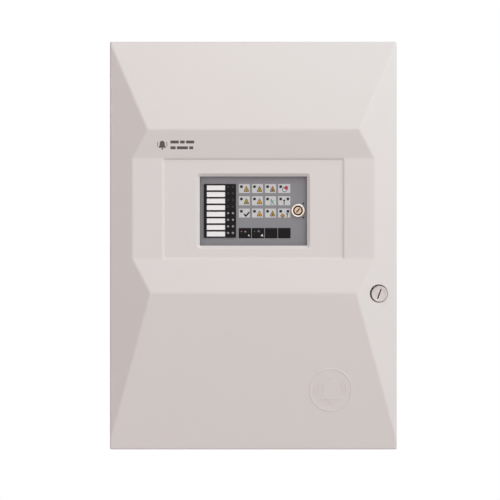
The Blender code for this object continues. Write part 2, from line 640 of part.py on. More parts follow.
def door_lock(door, plastic, steel, spindle):
    """Cam lock: barrel and nut on the door, and the plug, cam and screw that turn in it."""
    front = LOCK_FLANGE_Y + LOCK_FLANGE
    bore = LOCK_SHAFT + FIT
    profile = [(bore, LOCK_FLANGE_Y), (LOCK_FLANGE_RADIUS, LOCK_FLANGE_Y), (LOCK_FLANGE_RADIUS, front)]
    profile += [(LOCK_BARREL, front), (LOCK_BARREL, LOCK_END), (bore, LOCK_END)]
    barrel = Solid().turned(LOCK, profile, closed=True)
    part("lock_barrel", barrel, steel, parent=door, smooth=True)
    nut_y = (LOCK_NUT_Y, LOCK_NUT_Y + LOCK_NUT_DEPTH)
    hexagon = Solid().rod(LOCK, LOCK_NUT, nut_y, sides=6)
    thread = Solid().rod(LOCK, LOCK_BARREL + FIT, grown(nut_y, MM))
    part("lock_nut", hexagon, steel, [("DIFFERENCE", thread)], door)

    head_back, rim = LOCK_FACE + LOCK_HEAD_DEPTH, LOCK_HEAD_CHAMFER
    profile = [(LOCK_HEAD - rim, LOCK_FACE), (LOCK_HEAD, LOCK_FACE + rim), (LOCK_HEAD, head_back)]
    profile += [(LOCK_SHAFT, head_back), (LOCK_SHAFT, CAM_Y - FIT)]
    plug = Solid().turned(LOCK, profile)
    square_y = (CAM_Y - FIT - MM, CAM_BACK - FIT)
    square = Solid().box(about(LOCK[0], CAM_SQUARE), square_y, about(LOCK[1], CAM_SQUARE))
    groove = turned_slot(LOCK, LOCK_SLOT, LOCK_SLOT_TILT)
    slot = Solid().prism(groove, (LOCK_FACE - MM, LOCK_FACE + LOCK_SLOT[2]))
    screw_end = CAM_BACK + FIT - CAM_SCREW_LENGTH
    tapped = Solid().rod(LOCK, CAM_SCREW_SHANK + FIT, (screw_end - FIT, CAM_BACK + MM), sides=16)
    steps = [("UNION", square), ("DIFFERENCE", slot), ("DIFFERENCE", tapped)]
    part("lock_plug", plug, plastic, steps, spindle, smooth=True)

    half = CAM_WIDTH / 2
    spread = math.degrees(math.asin(half / CAM_HUB))
    tip = LOCK[1] - CAM_REACH
    outline = arc(LOCK, CAM_HUB, -90 + spread, 270 - spread, 20)
    outline += [(LOCK[0] - half, tip + CAM_CHAMFER), (LOCK[0] - half + CAM_CHAMFER, tip)]
    outline += [(LOCK[0] + half - CAM_CHAMFER, tip), (LOCK[0] + half, tip + CAM_CHAMFER)]
    hole_side = CAM_SQUARE + 2 * FIT
    hole = Solid().box(about(LOCK[0], hole_side), grown((CAM_Y, CAM_BACK), MM), about(LOCK[1], hole_side))
    part("lock_cam", Solid().prism(outline, (CAM_Y, CAM_BACK)), steel, [("DIFFERENCE", hole)], spindle)
    seat = CAM_BACK + FIT
    profile = [(CAM_SCREW_SHANK, screw_end), (CAM_SCREW_SHANK, seat), (CAM_SCREW_HEAD, seat)]
    profile += [(CAM_SCREW_HEAD, seat + CAM_SCREW_EDGE)]
    profile += [(CAM_SCREW_HEAD - CAM_SCREW_ROUND, seat + CAM_SCREW_TOP)]
    part("cam_screw", Solid().turned(LOCK, profile, sides=16), steel, parent=spindle, smooth=True)


def latch_strike(material):
    """Angle on the box's right wall, whose lip the cam turns behind."""
    wall, back = INNER_RIGHT - FIT, RIM_Y + STRIKE_LENGTH
    outline = [(wall, back), (wall, STRIKE_Y), (STRIKE_TIP, STRIKE_Y)]
    outline += [(STRIKE_TIP, STRIKE_Y + STRIKE_SHEET), (wall - STRIKE_SHEET, STRIKE_Y + STRIKE_SHEET)]
    outline += [(wall - STRIKE_SHEET, back)]
    part("latch_strike", Solid().prism(outline, about(LOCK[1], STRIKE_HEIGHT), axis="z"), material)


def key_places():
    return [KEY_FIRST + i * (KEY_WIDTH + KEY_SPACE) for i in range(KEY_COUNT)]


def zone_levels():
    return [WINDOW_Z + ZONE_FIRST - i * ZONE_PITCH for i in range(ZONES)]


def status_rows():
    """Places of the status lights, row by row. The lower two rows have a light more."""
    rows = []
    for row in range(3):
        places = [STATUS_FIRST + i * STATUS_PITCH for i in range(4)]
        if row:
            places.append(STATUS_EXTRA)
        rows.append([(x, WINDOW_Z + STATUS_TOP - row * STATUS_ROW_PITCH) for x in places])
    return rows


def zone_lights():
    return [(x, z + ZONE_LIGHT_RISE) for z in zone_levels() for x in ZONE_LIGHTS]


def card_span():
    across = grown((LABEL_LEFT, LABEL_LEFT + LABEL_WIDTH), CARD_MARGIN)
    return across, about(sum(zone_levels()) / ZONES, CARD_HEIGHT)


def fascia_plate(material):
    """Grey front of the control module, with posts for its screws."""
    plate = Solid().box(FASCIA_SPAN_X, (FASCIA_Y, FASCIA_BACK), FASCIA_SPAN_Z)
    posts, holes, pocket = Solid(), Solid(), Solid()
    for place in module_corners():
        posts.rod(place, POST_RADIUS, (FASCIA_BACK - MM, FASCIA_BACK + POST_LENGTH), sides=16)
        holes.rod(place, SCREW_RADIUS + FIT, (FASCIA_Y - MM, FASCIA_BACK + POST_LENGTH + MM), sides=12)
    through = grown((FASCIA_Y, FASCIA_BACK), MM)
    for place in zone_lights() + sum(status_rows(), []):
        holes.rod(place, LIGHT_RADIUS + FIT, through, sides=10)
    for x in key_places():
        holes.box(about(x, KEY_WIDTH + 2 * FIT), through, about(KEY_Z, KEY_HEIGHT + 2 * FIT))
    holes.rod(KEYLOCK, KEYLOCK_BODY + FIT, through)
    card_x, card_z = card_span()
    pocket.box(grown(card_x, FIT), (FASCIA_Y - MM, FASCIA_Y + CARD + FIT), grown(card_z, FIT))
    part("fascia_plate", plate, material, [("UNION", posts), ("DIFFERENCE", holes), ("DIFFERENCE", pocket)])


def zone_display(black, white, clear):
    """Black mask with a white label card behind its windows, and the light guides of the zones."""
    levels = zone_levels()
    front = MASK_REAR - MASK_SHEET
    through = grown((front, MASK_REAR), MM)
    card_x, card_z = card_span()
    mask_x = (MASK_LEFT, MASK_LEFT + MASK_WIDTH)
    mask = Solid().box(mask_x, (front, MASK_REAR), about(sum(levels) / ZONES, MASK_HEIGHT))
    holes = Solid()
    for z in levels:
        holes.box((LABEL_LEFT, LABEL_LEFT + LABEL_WIDTH), through, about(z, LABEL_HEIGHT))
    for place in zone_lights():
        holes.rod(place, LIGHT_RADIUS + FIT, through, sides=10)
    part("zone_mask", mask, black, [("DIFFERENCE", holes)])
    part("zone_label_card", Solid().box(card_x, (FASCIA_Y, FASCIA_Y + CARD), card_z), white)
    lights = zone_lights()
    half = len(lights) // 2
    light_guide("zone_light_guide_upper", lights[:half], front, clear)
    light_guide("zone_light_guide_lower", lights[half:], front, clear)


def light_guide(name, lights, front, material):
    """Bar behind the fascia with a peg for each light."""
    x, z = ([place[i] for place in lights] for i in (0, 1))
    spans = [grown((min(values), max(values)), LIGHT_BAR_MARGIN) for values in (x, z)]
    bar = Solid().box(spans[0], (BEHIND_FASCIA, BEHIND_FASCIA + LIGHT_BAR), spans[1])
    pegs = Solid()
    for place in lights:
        pegs.rod(place, LIGHT_RADIUS, (front, BEHIND_FASCIA + LIGHT_BAR / 2), sides=10)
    part(name, bar, material, [("UNION", pegs)])


def keys(cap, switch_case, body_of):
    """The four push keys, and the switches that their stems press."""
    switch_y = (DISPLAY_Y - FIT - SWITCH_DEPTH, DISPLAY_Y - FIT)
    stem_end = switch_y[1] - SWITCH_FLOOR - FIT - KEY_TRAVEL
    front, edge = FASCIA_Y - KEY_PROUD, KEY_CHAMFER
    flange_back = BEHIND_FASCIA + KEY_FLANGE
    flange_height = KEY_HEIGHT + 2 * KEY_FLANGE_LIP
    for number, x in enumerate(key_places(), 1):
        steps = [(KEY_WIDTH - 2 * edge, KEY_HEIGHT - 2 * edge, front)]
        steps += [(KEY_WIDTH, KEY_HEIGHT, front + edge), (KEY_WIDTH, KEY_HEIGHT, BEHIND_FASCIA)]
        steps += [(KEY_WIDTH, flange_height, BEHIND_FASCIA)]
        steps += [(KEY_WIDTH, flange_height, flange_back), (KEY_STEM, KEY_STEM, flange_back)]
        steps += [(KEY_STEM, KEY_STEM, stem_end)]
        solid = Solid().skin([rectangle(about(x, w), about(KEY_Z, h), y) for w, h, y in steps])
        part(f"key_{number}", solid, cap, parent=pivot(f"{body_of}_{number}", (x, front, KEY_Z)))
        case = Solid().box(about(x, SWITCH_SIDE), switch_y, about(KEY_Z, SWITCH_SIDE))
        well_side = KEY_STEM + 2 * RUN
        well_y = (switch_y[0] - MM, switch_y[1] - SWITCH_FLOOR)
        well = Solid().box(about(x, well_side), well_y, about(KEY_Z, well_side))
        part(f"key_switch_{number}", case, switch_case, [("DIFFERENCE", well)])


def keylock(chrome, brass, rotor_axis):
    """Key-operated switch in the fascia."""
    mouth_floor, ring_back = KEYLOCK_FRONT + KEYLOCK_MOUTH_DEPTH, FASCIA_Y - FIT
    inward, back = KEYLOCK_CHAMFER
    profile = [(KEYLOCK_MOUTH, KEYLOCK_FRONT), (KEYLOCK_RING - inward, KEYLOCK_FRONT)]
    profile += [(KEYLOCK_RING, KEYLOCK_FRONT + back), (KEYLOCK_RING, ring_back)]
    profile += [(KEYLOCK_BODY, ring_back), (KEYLOCK_BODY, KEYLOCK_END), (KEYLOCK_BORE, KEYLOCK_END)]
    profile += [(KEYLOCK_BORE, mouth_floor), (KEYLOCK_MOUTH, mouth_floor)]
    part("keylock_body", Solid().turned(KEYLOCK, profile, sides=32, closed=True), chrome, smooth=True)
    nut_y = (BEHIND_FASCIA, BEHIND_FASCIA + KEYLOCK_NUT_DEPTH)
    thread = Solid().rod(KEYLOCK, KEYLOCK_BODY + FIT, grown(nut_y, MM))
    part("keylock_nut", Solid().rod(KEYLOCK, KEYLOCK_NUT, nut_y, sides=6), chrome, [("DIFFERENCE", thread)])
    face, shoulder = KEYLOCK_FRONT + ROTOR_SETBACK, mouth_floor - FIT
    profile = [(KEYLOCK_MOUTH - RUN, face), (KEYLOCK_MOUTH - RUN, shoulder), (KEYLOCK_BORE - FIT, shoulder)]
    profile += [(KEYLOCK_BORE - FIT, KEYLOCK_END + KEYLOCK_TAIL)]
    groove = Solid().prism(turned_slot(KEYLOCK, KEYWAY, KEYWAY_TILT), (face - MM, face + KEYWAY[2]))
    rotor = Solid().turned(KEYLOCK, profile)
    part("keylock_rotor", rotor, brass, [("DIFFERENCE", groove)], rotor_axis, smooth=True)


def module_frame(steel, board, screw_metal):
    """Display board, the steel chassis behind it, and the four screws through them."""
    display_y = (DISPLAY_Y, DISPLAY_BACK)
    holes = Solid()
    for place in module_corners():
        holes.rod(place, SCREW_RADIUS + FIT, grown(display_y, MM), sides=12)
    holes.rod(KEYLOCK, KEYLOCK_BODY + 2 * FIT, grown(display_y, MM))
    display = Solid().box(grown(FASCIA_SPAN_X, -FIT), display_y, grown(FASCIA_SPAN_Z, -FIT))
    part("display_board", display, board, [("DIFFERENCE", holes)])

    half, sheet = CHASSIS_WIDTH / 2, CHASSIS_SHEET
    foot, front = half + CHASSIS_FOOT, CHASSIS_Y
    right = [(half, front), (half, SEAT_Y - sheet), (foot, SEAT_Y - sheet), (foot, SEAT_Y)]
    right += [(half - sheet, SEAT_Y), (half - sheet, front + sheet)]
    outline = right + [(-x, y) for x, y in reversed(right)]
    posts, bores = Solid(), Solid()
    for place in module_corners():
        posts.rod(place, POST_RADIUS, (DISPLAY_BACK + FIT, front + sheet / 2), sides=16)
        bores.rod(place, SCREW_RADIUS + FIT, (DISPLAY_BACK, front + sheet + MM), sides=12)
    hole_x, hole_z = about(RIBBON_X, RIBBON_HOLE[0]), about(RIBBON_Z, RIBBON_HOLE[1])
    ribbon_hole = Solid().box(hole_x, grown((front, front + sheet), MM), hole_z)
    steps = [("UNION", posts), ("DIFFERENCE", bores), ("DIFFERENCE", ribbon_hole)]
    part("module_chassis", Solid().prism(outline, FASCIA_SPAN_Z, axis="z"), steel, steps)

    head_y = FASCIA_Y - FIT
    for number, place in enumerate(module_corners(), 1):
        top = head_y - SCREW_HEAD_HEIGHT
        profile = [(SCREW_HEAD - SCREW_ROUND, top), (SCREW_HEAD, top + SCREW_ROUND), (SCREW_HEAD, head_y)]
        profile += [(SCREW_RADIUS, head_y), (SCREW_RADIUS, front + sheet + MM)]
        part(f"fascia_screw_{number}", Solid().turned(place, profile, sides=12), screw_metal, smooth=True)


def ribbon_cable(material):
    """Flat cable with its two connectors, from the display board to the main board."""
    start, end = DISPLAY_BACK + FIT, ON_MAIN
    depth, height = RIBBON_PLUG
    steps = 12
    middle = []
    for i in range(steps + 1):
        t = i / steps
        ease = t * t * (3 - 2 * t)
        middle.append((start + depth + (end - start - 2 * depth) * t, RIBBON_Z - RIBBON_DROP * ease))
    upper, lower = [], []
    for side, thickness in ((upper, RIBBON_THICKNESS / 2), (lower, -RIBBON_THICKNESS / 2)):
        plug = math.copysign(height / 2, thickness)
        side += [(start, RIBBON_Z + plug), (start + depth, RIBBON_Z + plug)]
        side += [(y, z + thickness) for y, z in middle]
        side += [(end - depth, middle[-1][1] + plug), (end, middle[-1][1] + plug)]
    outline = upper + lower[::-1]
    part("ribbon_cable", Solid().prism(outline, about(RIBBON_X, RIBBON_WIDTH), axis="x"), material)


def on_main_board(x, z, size):
    """Spans of a box soldered to the main board: its centre across, width, depth and height."""
    return about(x, size[0]), (ON_MAIN - size[1], ON_MAIN), about(z, size[2])


def main_board(board, green_plastic, black, steel, grey, sleeve):
    """Main circuit board and the parts that stand on it."""
    y = (ON_MAIN + FIT, MAIN_BACK)
    holes = Solid()
    for place in main_corners():
        holes.rod(place, BOSS_HOLE, grown(y, MM), sides=12)
    plate = Solid().box(about(0, MAIN_WIDTH), y, (MAIN_BOTTOM, MAIN_TOP))
    part("main_board", plate, board, [("DIFFERENCE", holes)])
    for side, (x, width) in TERMINALS.items():
        terminal_block(f"{side}_terminals", x, width, green_plastic)
    for number, x in enumerate(RELAY_PLACES, 1):
        part(f"relay_{number}", Solid().box(*on_main_board(x, MAIN_TOP - RELAY_DROP, RELAY)), black)
    heat_sink(steel)
    radius, height, rounding = CAPACITOR
    end = ON_MAIN - height
    profile = [(radius - rounding, end), (radius, end + rounding), (radius, ON_MAIN)]
    can = Solid().turned((CAPACITOR_X, MAIN_TOP - SECOND_ROW_DROP), profile)
    part("smoothing_capacitor", can, sleeve, smooth=True)
    chip = Solid().box(*on_main_board(CHIP_PLACE[0], WINDOW_Z + CHIP_PLACE[1], CHIP))
    part("processor_chip", chip, grey)
    place = (SOUNDER_PLACE[0], WINDOW_Z + SOUNDER_PLACE[1])
    front = ON_MAIN - SOUNDER[1]
    sounder = Solid().rod(place, SOUNDER[0], (front, ON_MAIN))
    port = Solid().rod(place, SOUNDER_PORT[0], (front - MM, front + SOUNDER_PORT[1]), sides=12)
    part("sounder", sounder, black, [("DIFFERENCE", port)], smooth=True)


def terminal_block(name, x, width, material):
    """Row of screw terminals at the top of the main board, open upwards for the wires."""
    z = MAIN_TOP - TERMINAL_DROP
    outline = [(ON_MAIN - off * MM, z + up * MM) for off, up in TERMINAL_PROFILE]
    ways = int(width / TERMINAL_PITCH)
    entry_width, entry_height, entry_depth = TERMINAL_ENTRY
    low = ON_MAIN - TERMINAL_ENTRY_LIFT
    top = z + TERMINAL_PROFILE[-1][1] * MM
    entries = Solid()
    for i in range(ways):
        way = x + (i - (ways - 1) / 2) * TERMINAL_PITCH
        entries.box(about(way, entry_width), (low - entry_height, low), (top + MM - entry_depth, top + MM))
    part(name, Solid().prism(outline, about(x, width), axis="x"), material, [("DIFFERENCE", entries)])


def heat_sink(material):
    """Finned aluminium block with its fins towards the door."""
    sink_x, sink_y, sink_z = on_main_board(HEAT_SINK_X, MAIN_TOP - SECOND_ROW_DROP, HEAT_SINK)
    pitch = HEAT_SINK[0] / HEAT_SINK_FINS
    floor = sink_y[1] - HEAT_SINK_BASE
    outline = [(sink_x[0], sink_y[1]), (sink_x[1], sink_y[1])]
    for i in range(HEAT_SINK_FINS):
        right = sink_x[1] - i * pitch
        left = right - FIN_SHARE * pitch
        outline += [(right, sink_y[0]), (left, sink_y[0]), (left, floor), (right - pitch, floor)]
    part("regulator_heat_sink", Solid().prism(outline, sink_z, axis="z"), material)


def power_supply(iron, copper, plastic, glass):
    """Transformer, mains terminals and fuse on the right of the back wall."""
    width, depth, height = TRANSFORMER_CORE
    z = WINDOW_Z + TRANSFORMER_LEVEL
    middle = SEAT_Y - WINDING_DEPTH / 2
    core_y = about(middle, depth)
    core = Solid().box(about(POWER_X, width), core_y, about(z, height))
    windows = Solid()
    window_width = (width - TRANSFORMER_LEG) / 2 - TRANSFORMER_LIMB
    window_height = height - 2 * TRANSFORMER_LIMB
    for side in (-1, 1):
        centre = POWER_X + side * (TRANSFORMER_LEG + window_width) / 2
        windows.box(about(centre, window_width), grown(core_y, MM), about(z, window_height))
    part("transformer_core", core, iron, [("DIFFERENCE", windows)])
    coil_width = TRANSFORMER_LEG + 2 * window_width - 2 * FIT
    coil_height = window_height - 2 * FIT
    coil = Solid().box(about(POWER_X, coil_width), about(middle, WINDING_DEPTH), about(z, coil_height))
    leg = Solid().box(
        about(POWER_X, TRANSFORMER_LEG + 2 * FIT), grown(core_y, FIT), about(z, coil_height + COIL_REACH)
    )
    part("transformer_winding", coil, copper, [("DIFFERENCE", leg)])

    z = WINDOW_Z + MAINS_LEVEL
    width, depth, height = MAINS_BLOCK
    block = Solid().box(about(POWER_X, width), (SEAT_Y - depth, SEAT_Y), about(z, height))
    well_y = (SEAT_Y - depth - MM, SEAT_Y - depth + MAINS_WELL[1])
    wells = Solid()
    for way in (-1, 0, 1):
        wells.box(about(POWER_X + way * MAINS_PITCH, MAINS_WELL[0]), well_y, about(z, MAINS_WELL[2]))
    part("mains_terminals", block, plastic, [("DIFFERENCE", wells)])
    z = WINDOW_Z + FUSE_LEVEL
    width, depth, height = FUSE_CRADLE
    length, radius, lift = FUSE_TUBE
    cradle = Solid().box(about(POWER_X, width), (SEAT_Y - depth, SEAT_Y), about(z, height))
    tube = Solid().rod((SEAT_Y - lift, z), radius, about(POWER_X, length), axis="x", sides=16)
    part("fuse_holder", cradle, glass, [("UNION", tube)])


def tab_places(left):
    """Places of a battery's two blade terminals on its top."""
    y = BATTERY_FRONT + TAB_SETBACK
    return [(left + x, y, BATTERY_SPAN_Z[1] - TAB_WELL) for x in (TAB_INSET, BATTERY[0] - TAB_INSET)]


def batteries(case, steel):
    """Two sealed batteries standing on the box's floor, and the strap across them."""
    low, high = BATTERY_SPAN_Z
    y = (BATTERY_FRONT, SEAT_Y)
    lid = high - BATTERY_LID
    for number, left in enumerate(BATTERY_PLACES, 1):
        x = (left, left + BATTERY[0])
        body = Solid().box(x, y, (low, high - TAB_WELL))
        groove = Solid().box(grown(x, MM), (y[0] - MM, y[0] + LID_GROOVE), (lid, lid + LID_GROOVE))
        tabs = Solid()
        for place in tab_places(left):
            tabs.box(about(place[0], TAB[0]), about(place[1], TAB[1]), (place[2] - MM, place[2] + TAB[2]))
        part(f"battery_{number}", body, case, [("DIFFERENCE", groove), ("UNION", tabs)])

    sheet, front = STRAP_SHEET, BATTERY_FRONT - FIT
    left, right = INNER_LEFT + FIT, BATTERY_RIGHT + FIT
    outline = [(left, front), (left, front - sheet), (right + sheet, front - sheet)]
    outline += [(right + sheet, SEAT_Y - sheet), (right + STRAP_FOOT, SEAT_Y - sheet)]
    outline.append((right + STRAP_FOOT, SEAT_Y))
    outline += [(right, SEAT_Y), (right, front)]
    z = about(INNER_BOTTOM + STRAP_RISE, STRAP_HEIGHT)
    part("battery_strap", Solid().prism(outline, z, axis="z"), steel)


def battery_leads(red, black, link):
    """Wires between the batteries and to the main board."""
    first, second = (tab_places(left) for left in BATTERY_PLACES)
    above = TAB[2] + FIT

    def over(place, rise, dx=0.0, dy=0.0):
        return (place[0] + dx, place[1] + dy, place[2] + above + rise)

    up, bend, turn, crown = LEAD_RISE
    board_z = MAIN_BOTTOM + LEAD_FOOT_RISE
    for pole, place, material in (("positive", first[0], red), ("negative", second[1], black)):
        x = LEAD_FEET[pole]
        side = math.copysign(1, x - place[0])
        route = [over(place, 0), over(place, up), over(place, bend, side * 2 * MM, 3 * MM)]
        route.append(over(place, turn, side * 8 * MM, 9 * MM))
        route.append(((place[0] + x) / 2 + side * 4 * MM, ON_MAIN - LEAD_BOW, place[2] + above + crown))
        route += [(x, ON_MAIN - 2 * LEAD_STUB, board_z - 4 * MM), (x, ON_MAIN - LEAD_STUB, board_z)]
        route.append((x, ON_MAIN, board_z))
        lead(f"battery_lead_{pole}", route, material)
    a, b = first[1], second[0]
    crown = (up + bend) / 2 + MM
    route = [over(a, 0), over(a, up), over(a, crown, 4 * MM)]
    route += [over(b, crown, -4 * MM), over(b, up), over(b, 0)]
    lead("battery_link", route, link)


def clear_scene():
    for thing in list(bpy.data.objects):
        bpy.data.objects.remove(thing, do_unlink=True)


def build():
    clear_scene()
    off_white = finish("moulded_off_white", (217, 209, 207), 0.5)
    fascia_grey = finish("fascia_grey", (134, 132, 136), 0.55)
    black = finish("black_plastic", (44, 41, 42), 0.45)
    white = finish("label_white", (223, 217, 217), 0.7)
    clear = finish("light_guide", (150, 148, 148), 0.25)
    zinc = finish("zinc_plate", (190, 192, 194), 0.35, 0.9)
    chrome = finish("chrome", (214, 206, 196), 0.2, 1.0)
    brass = finish("brass", (176, 158, 132), 0.35, 0.9)
    board = finish("circuit_board", (28, 84, 52), 0.45)
    green = finish("terminal_green", (52, 132, 72), 0.5)
    rubber = finish("grommet_rubber", (52, 52, 54), 0.8)
    plug_white = finish("plug_white", (214, 206, 204), 0.45)
    iron = finish("transformer_iron", (88, 86, 84), 0.6, 0.6)
    tape = finish("winding_tape", (196, 164, 76), 0.5)
    sleeve = finish("capacitor_sleeve", (38, 52, 92), 0.4)
    battery_case = finish("battery_case", (58, 58, 62), 0.55)
    red = finish("red_insulation", (176, 34, 30), 0.5)
    black_wire = finish("black_insulation", (34, 34, 36), 0.5)
    link = finish("blue_insulation", (40, 66, 140), 0.5)

    back_box(off_white)
    grommets(rubber)
    hinge_pins(zinc)
    door = pivot("door_hinge_axis", (*HINGE, WINDOW_Z))
    spindle = pivot("lock_axis", (LOCK[0], LOCK_FACE, LOCK[1]), door)
    door_cover(off_white, door)
    door_lock(door, plug_white, zinc, spindle)
    latch_strike(zinc)

    fascia_plate(fascia_grey)
    zone_display(black, white, clear)
    for number, lights in enumerate(status_rows(), 1):
        light_guide(f"status_light_guide_{number}", lights, FASCIA_Y - 0.2 * MM, clear)
    keys(black, black, "key_axis")
    keylock(chrome, brass, pivot("keylock_axis", (KEYLOCK[0], KEYLOCK_FRONT, KEYLOCK[1])))
    module_frame(zinc, board, zinc)
    ribbon_cable(fascia_grey)
    main_board(board, green, black, zinc, black, sleeve)
    power_supply(iron, tape, black, white)
    batteries(battery_case, zinc)
    battery_leads(red, black_wire, link)


build()
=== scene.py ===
"""Looks of a wall-hung fire alarm control panel.

Metres, +Z up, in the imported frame: X runs to the right, the door faces -Y and the wall is at Y = 0.
"""

from __future__ import annotations

import json
import logging
import math
from dataclasses import dataclass, field
from enum import Enum
from functools import cached_property
from itertools import count
from typing import Any, Callable, Iterable, Sequence

import bmesh
import bpy
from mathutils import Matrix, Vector

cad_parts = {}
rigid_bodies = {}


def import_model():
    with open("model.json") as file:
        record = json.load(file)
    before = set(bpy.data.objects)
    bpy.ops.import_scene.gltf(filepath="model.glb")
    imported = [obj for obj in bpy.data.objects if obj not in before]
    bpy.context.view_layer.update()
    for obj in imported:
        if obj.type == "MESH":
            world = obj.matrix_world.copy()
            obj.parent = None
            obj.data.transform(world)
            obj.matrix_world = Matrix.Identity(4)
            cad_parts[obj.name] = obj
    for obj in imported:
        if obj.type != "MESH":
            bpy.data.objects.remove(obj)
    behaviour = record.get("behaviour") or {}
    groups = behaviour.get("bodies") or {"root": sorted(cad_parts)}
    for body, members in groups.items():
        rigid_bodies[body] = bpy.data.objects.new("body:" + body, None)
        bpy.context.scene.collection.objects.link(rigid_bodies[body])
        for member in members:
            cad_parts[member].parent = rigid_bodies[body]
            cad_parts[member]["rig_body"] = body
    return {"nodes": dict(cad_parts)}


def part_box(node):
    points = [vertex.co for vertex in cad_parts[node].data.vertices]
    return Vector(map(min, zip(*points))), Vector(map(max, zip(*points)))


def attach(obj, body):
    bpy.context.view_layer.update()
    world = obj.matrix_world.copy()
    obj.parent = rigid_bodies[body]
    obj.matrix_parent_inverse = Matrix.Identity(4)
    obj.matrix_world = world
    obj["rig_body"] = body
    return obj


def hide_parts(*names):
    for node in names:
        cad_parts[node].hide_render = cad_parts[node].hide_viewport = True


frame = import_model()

log = logging.getLogger("panel")

MM = 0.001

Point2 = tuple[float, float]
Point3 = tuple[float, float, float]
Colour = tuple[float, float, float]
Span = tuple[float, float]


# ---------------------------------------------------------------- shader arithmetic


def tint(red: int, green: int, blue: int) -> Colour:
    """Turn an ordinary 0-255 colour into linear light.

    Args:
        red: Red part, 0 to 255.
        green: Green part, 0 to 255.
        blue: Blue part, 0 to 255.

    Returns:
        The linear colour.
    """
    return tuple(((c / 255 + 0.055) / 1.055) ** 2.4 for c in (red, green, blue))


class Signal:
    """A shader value that stands in ordinary arithmetic; each operator adds its Math node."""

    def __init__(self, paint: NodeTree, socket: bpy.types.NodeSocket) -> None:
        """Wrap an output socket of a tree."""
        self.paint = paint
        self.socket = socket

    def math(self, operation: str, *values: Signal | float) -> Signal:
        """Add a Math node.

        Args:
            operation: Blender's name of the operation.
            values: Its operands, in order.

        Returns:
            The node's result.
        """
        wired = dict(enumerate(values))
        return self.paint.node("ShaderNodeMath", {"operation": operation}, wired)

    def __add__(self, other: Signal | float) -> Signal:
        """Sum."""
        return self.math("ADD", self, other)

    def __radd__(self, other: float) -> Signal:
        """Sum, the number first."""
        return self.math("ADD", other, self)

    def __sub__(self, other: Signal | float) -> Signal:
        """Difference."""
        return self.math("SUBTRACT", self, other)

    def __rsub__(self, other: float) -> Signal:
        """Difference, the number first."""
        return self.math("SUBTRACT", other, self)

    def __mul__(self, other: Signal | float) -> Signal:
        """Product."""
        return self.math("MULTIPLY", self, other)

    def __rmul__(self, other: float) -> Signal:
        """Product, the number first."""
        return self.math("MULTIPLY", other, self)

    def __truediv__(self, other: Signal | float) -> Signal:
        """Quotient."""
        return self.math("DIVIDE", self, other)

    def __rtruediv__(self, other: float) -> Signal:
        """Quotient, the number first."""
        return self.math("DIVIDE", other, self)

    def __abs__(self) -> Signal:
        """Size without sign."""
        return self.math("ABSOLUTE", self)

    def at_most(self, other: Signal | float) -> Signal:
        """The lower of two values."""
        return self.math("MINIMUM", self, other)

    def at_least(self, other: Signal | float) -> Signal:
        """The higher of two values."""
        return self.math("MAXIMUM", self, other)

    def from_cell(self, pitch: float) -> Signal:
        """Distance to the middle of the nearest cell of a row with this pitch."""
        cell = self / pitch
        return abs(cell.math("FRACT", cell) - 0.5) * pitch

    def below(self, edge: float, softness: float) -> Signal:
        """Mask that is 1 under an edge and fades to 0 across a softness."""
        return self.paint.remap(self, (edge + softness, edge - softness), (0.0, 1.0))


class NodeTree:
    """A shader tree being made."""

    def __init__(self, tree: bpy.types.NodeTree) -> None:
        """Take the tree that the nodes go in."""
        self.tree = tree

    def feed(self, socket: bpy.types.NodeSocket, value: Signal | Colour | float) -> None:
        """Link a signal to an input socket, or set the socket to a value.

        Args:
            socket: The input socket.
            value: What it gets.
        """
        if isinstance(value, Signal):
            self.tree.links.new(value.socket, socket)
        else:
            socket.default_value = (*value, 1.0) if socket.type == "RGBA" else value

    def node(
        self,
        kind: str,
        settings: dict[str, Any] | None = None,
        inputs: dict[str | int, Any] | None = None,
        output: str | int = 0,
    ) -> Signal:
        """Add any node.

        Args:
            kind: The node's type.
            settings: Its properties.
            inputs: Values or signals for its sockets, by name or number.
            output: The socket that the result is read from.

        Returns:
            The chosen output.
        """
        made = self.tree.nodes.new(kind)
        for key, value in (settings or {}).items():
            setattr(made, key, value)
        for key, value in (inputs or {}).items():
            self.feed(made.inputs[key], value)
        return Signal(self, made.outputs[output])

    def remap(self, value: Signal, source: Span, target: Span) -> Signal:
        """Move a value from one range to another, held at both ends."""
        values = {0: value, 1: source[0], 2: source[1], 3: target[0], 4: target[1]}
        return self.node("ShaderNodeMapRange", {"clamp": True}, values)


